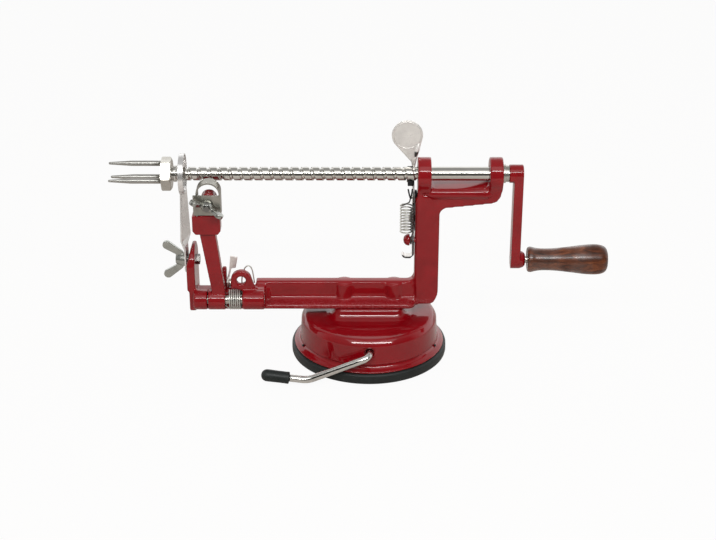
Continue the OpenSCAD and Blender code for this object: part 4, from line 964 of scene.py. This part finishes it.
# %% Round the corners of a route
def rounded_route(corners, radii, steps=14):
    """Points along straight runs whose corners are rounded to the given radii."""
    corners = [Vector(c) for c in corners]
    route = [corners[0]]
    for before, knee, after, radius in zip(corners, corners[1:], corners[2:], radii):
        back, onward = (before - knee).normalized(), (after - knee).normalized()
        half = back.angle(onward) / 2
        trim = radius / math.tan(half)
        centre = knee + (back + onward).normalized() * (radius / math.sin(half))
        enter, leave = knee + back * trim - centre, knee + onward * trim - centre
        sweep = enter.angle(leave)
        for t in [k / steps for k in range(steps + 1)]:
            spoke = math.sin((1 - t) * sweep) * enter + math.sin(t * sweep) * leave
            route.append(centre + spoke / math.sin(sweep))
    route.append(corners[-1])
    return route


# %% Bend the lever
LEVER_Y, LEVER_Z, LEVER_R = -55.0, 21.2, 2.5
AXLE_END_Y = 18.2
BEND_X, BEND_Z = -42.4, 3.9
LEVER_END_X, LEVER_END_Z = -72.0, 8.0
rise = math.atan2(LEVER_END_Z - BEND_Z, BEND_X - LEVER_END_X)


def on_last_run(x):
    """The point of the lever's last run, from the bend to the cap, at x."""
    return (x, LEVER_Y, BEND_Z + (BEND_X - x) * math.tan(rise))


lever_corners = [(0, AXLE_END_Y, LEVER_Z), (0, LEVER_Y, LEVER_Z), (BEND_X, LEVER_Y, BEND_Z)]
lever_corners.append(on_last_run(-57.0))
lever_rod = sweep_wire(rounded_route(lever_corners, [5.0, 16.0]), LEVER_R, 32)
# The chrome carries a painted reflection of the dark table along the slope
new_piece("bent_lever_rod", lever_rod, chrome, "lever", ["suction_lever"])

# %% [markdown]
# ## The lever's cap
# A dipped rubber cap covers the lever's end. It has a rolled lip where it meets the rod and a domed
# nose, both turned on the lathe along the rod's last straight run.

# %% Turn the cap
CAP_OUTLINE = [
    (2.4, 0.0), (2.4, 2.55), (0.35, 2.6), (0.08, 2.9), (0.0, 3.3), (0.1, 3.8), (0.45, 4.15),
    (1.0, 4.22), (1.8, 4.15), (2.6, 4.1), (9.0, 4.12), (14.6, 4.2), (16.2, 4.1), (17.6, 3.6),
    (18.7, 2.6), (19.3, 1.4), (19.5, 0.0),
]
cap_axis = (LEVER_END_X - BEND_X, 0, LEVER_END_Z - BEND_Z)
cap = turn_outline(CAP_OUTLINE, on_last_run(-55.0), cap_axis, 40)
new_piece("rubber_lever_cap", cap, rubber, "lever", ["lever_cap"])

# %% [markdown]
# ## The drum's pressed skin
# The drum is pressed from sheet, so its rim is crisper than a cast edge: a flat top, a crease, and a
# short curve into the steep side. One turned skin gives it that rim. Round the lever's hole the skin
# is cut open and turned in, so that the hole in the shell shows.

# %% Press the drum's skin
# Radius and height in millimetres, from the top inwards and back under the skin
DRUM_LINE = [
    (32.6, 30.3), (36.0, 30.27), (40.0, 30.18), (43.6, 30.05), (44.9, 29.85), (45.7, 29.35),
    (46.4, 28.45), (47.0, 27.55), (47.5, 26.75), (47.8, 26.2), (47.95, 25.7), (48.02, 25.0),
    *[(48.06 + 0.62 * k / 12, 24.0 - 0.8 * k) for k in range(13)],
    (48.85, 13.2), (49.0, 12.4), (48.6, 11.8), (46.6, 14.0), (44.8, 26.0), (43.4, 28.6),
    (32.6, 29.6), (32.6, 30.3),
]
drum_skin = weld(turn_outline([(z, r) for r, z in DRUM_LINE], steps=480))
print("drum skin before the hole:", len(drum_skin.faces), "faces")

# %% Cut the lever's hole
HOLE_R = 3.5
HOLE_SEARCH = 6
FAR_AWAY = 99.0
TURNED_IN = 1.6


def from_lever(vert):
    """How far a point of the drum's front is from the lever's axle, in millimetres."""
    return math.hypot(vert.co.x, vert.co.z - LEVER_Z * MM) / MM if vert.co.y < 0 else FAR_AWAY


in_hole = [v for v in drum_skin.verts if from_lever(v) < HOLE_R + 0.3]
bmesh.ops.delete(drum_skin, geom=in_hole, context="VERTS")
hole_edges = [e for e in drum_skin.edges if e.is_boundary and from_lever(e.verts[0]) < HOLE_SEARCH]
for vert in {v for e in hole_edges for v in e.verts}:
    pull = HOLE_R / from_lever(vert)
    vert.co.x, vert.co.z = vert.co.x * pull, (LEVER_Z + (vert.co.z / MM - LEVER_Z) * pull) * MM
turned_in = bmesh.ops.extrude_edge_only(drum_skin, edges=hole_edges)["geom"]
for vert in [v for v in turned_in if isinstance(v, bmesh.types.BMVert)]:
    vert.co.y += TURNED_IN * MM
new_piece("drum_skin", drum_skin, base_red, "frame")

# %% [markdown]
# Two small dark pins sit in the hollow between drum and skirt, one at each side.

# %% Skirt pins
PIN_OUTLINE = [(-0.9, 0.0), (-0.9, 0.85), (0.1, 0.85), (0.24, 0.7), (0.3, 0.4), (0.3, 0.0)]
skirt_pins = bmesh.new()
for x in (-46.8, 46.8):
    turn_outline(PIN_OUTLINE, (x, -17.0, 11.0), (x, -17.0, 46.0), 20, shape=skirt_pins)
new_piece("skirt_pins", skirt_pins, blackened, "frame")

# %% [markdown]
# ## The suction pad
# Only the pad's rim shows, a soft black bead round the drum's skirt. Underneath, the middle of the pad
# rises when the lever is turned. The rim is one turned ring that stays with the frame. The membrane is
# made in sectors, which ride on no body.

# %% Mould the pad's rim
PAD_R = 55.0
MEMBRANE_R = 44.0
RIM_OUTLINE = [
    (0.0, MEMBRANE_R), (0.0, 53.2), (0.25, 54.1), (0.8, 54.75), (1.8, PAD_R), (4.0, PAD_R),
    (5.9, PAD_R - 0.05), (6.8, 54.6), (7.3, 53.9), (7.4, 53.0), (7.4, 51.7), (7.1, 51.4), (5.3, 50.5),
    (5.2, 50.1), (5.2, MEMBRANE_R), (0.0, MEMBRANE_R),
]
pad_rim = weld(turn_outline(RIM_OUTLINE, steps=144))
new_piece("pad_rim", pad_rim, rubber, "frame", ["suction_pad"])

# %% Mould the pad's boss
BOSS_R = 11.6
BOSS_OUTLINE = [
    (0.0, 0.0), (0.0, BOSS_R), (2.4, BOSS_R), (8.2, BOSS_R), (8.4, 11.2), (8.4, 3.9), (4.4, 3.9),
    (4.4, 8.4), (2.6, 8.4), (2.6, 0.0),
]
boss = turn_outline(BOSS_OUTLINE, steps=72)
new_piece("pad_boss", boss, rubber, "pad_pull", ["suction_pad"])

# %% Mould the membrane
SECTORS = 12
SECTOR_OUTLINE = [
    (0.0, BOSS_R), (0.0, 20.0), (0.0, 28.0), (0.0, 36.0), (0.0, MEMBRANE_R), (5.2, MEMBRANE_R),
    (5.3, 36.0), (5.4, 28.0), (5.5, 20.0), (6.6, 14.0), (8.2, BOSS_R), (0.0, BOSS_R),
]
side, up = round_axis(Vector((0, 0, 1)))
for number in range(SECTORS):
    middle, half = 360 / SECTORS * (number + 0.5), 180 / SECTORS
    sector = weld(turn_outline(SECTOR_OUTLINE, steps=6, arc=(middle - half, middle + half)))
    name = f"pad_sector_{number + 1:02d}"
    piece = new_piece(name, sector, rubber, None, ["suction_pad"])
    outward = math.cos(math.radians(middle)) * side + math.sin(math.radians(middle)) * up
    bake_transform(piece)

# %% [markdown]
# ## Floor and light
# The peeler stands on a plain white floor that runs out of sight. For the camera, floor and room are
# white, and the floor still takes a soft shadow. Gloss and metal see the room as it is lit: a white
# wall behind the object, a darker front and ceiling, and a floor that is dark in front, which gives the
# bright metal its dark bands. One long strip of light in front and above draws the thin highlights
# along the enamel, and a broad soft box above it fills the shadows.

# %% Floor
FLOOR_CORNERS = [(-5, -5, 0), (5, -5, 0), (5, 5, 0), (-5, 5, 0)]
FLOOR_DROP = 0.0001
floor_mesh = bpy.data.meshes.new("studio_floor")
floor_mesh.from_pydata(FLOOR_CORNERS, [], [(0, 1, 2, 3)])
floor = bpy.data.objects.new("studio_floor", floor_mesh)
floor.location.z = -FLOOR_DROP
bpy.context.scene.collection.objects.link(floor)
print("floor corners in metres:", FLOOR_CORNERS)

# %% Floor finish
WHITE = rgba(1.0, 1.0, 1.0)
floor_white = bpy.data.materials.new("floor_white")
floor_white.use_nodes = True
tree = floor_white.node_tree
tree.nodes.clear()
towards_back = part_of(tree, put(tree, "TexCoord").outputs["Object"])["Y"]
table_share = stretch(tree, towards_back, -0.60, -0.46)
table_colour = mix_colours(tree, table_share, rgba(0.16, 0.155, 0.15), rgba(0.62, 0.585, 0.55))
lit = put(tree, "BsdfDiffuse", {"Color": table_colour}).outputs[0]
glow = put(tree, "Emission", {"Color": WHITE}).outputs[0]
seen = times(tree, put(tree, "LightPath").outputs["Is Camera Ray"], 0.94)
put(tree, "OutputMaterial", {"Surface": put(tree, "MixShader", {0: seen, 1: lit, 2: glow}).outputs[0]})
floor_mesh.materials.append(floor_white)
print("floor finish:", floor_white.name)

# %% World
world = bpy.data.worlds.new("studio_room")
bpy.context.scene.world = world
world.use_nodes = True
room = world.node_tree
room.nodes.clear()
direction = part_of(room, put(room, "TexCoord").outputs["Generated"])
behind = stretch(room, direction["Y"], -0.25, 0.35)
left = stretch(room, direction["X"], -0.05, -0.22)
overhead = stretch(room, direction["Z"], 0.4, 0.8)
front = mix_colours(room, left, rgba(0.12, 0.115, 0.11), rgba(0.30, 0.295, 0.28))
walls = mix_colours(room, behind, front, rgba(1.45, 1.45, 1.45))
room_colour = mix_colours(room, overhead, walls, rgba(0.45, 0.445, 0.44))
lit = put(room, "Background", {"Color": room_colour}).outputs[0]
white = put(room, "Background", {"Color": WHITE}).outputs[0]
seen = put(room, "LightPath").outputs["Is Camera Ray"]
put(room, "OutputWorld", {"Surface": put(room, "MixShader", {0: seen, 1: lit, 2: white}).outputs[0]})
print("room:", world.name)


# %% Lamps
def soft_light(name, place, width, height, watts):
    lamp_data = bpy.data.lights.new(name, "AREA")
    lamp_data.shape = "RECTANGLE"
    lamp_data.size, lamp_data.size_y = width, height
    lamp_data.energy = watts
    lamp = bpy.data.objects.new(name, lamp_data)
    lamp.location = place
    lamp.rotation_euler = (Vector(AIM) - Vector(place)).to_track_quat("-Z", "Y").to_euler()
    bpy.context.scene.collection.objects.link(lamp)
    print(f"{name}: {watts} W, {width} by {height} m")


AIM = (0.12, 0.0, 0.10)
soft_light("front_box", (0.12, -0.80, 1.22), 1.8, 0.8, 5.2)
soft_light("front_tube", (0.12, -1.0, 0.91), 1.46, 0.11, 10.4)
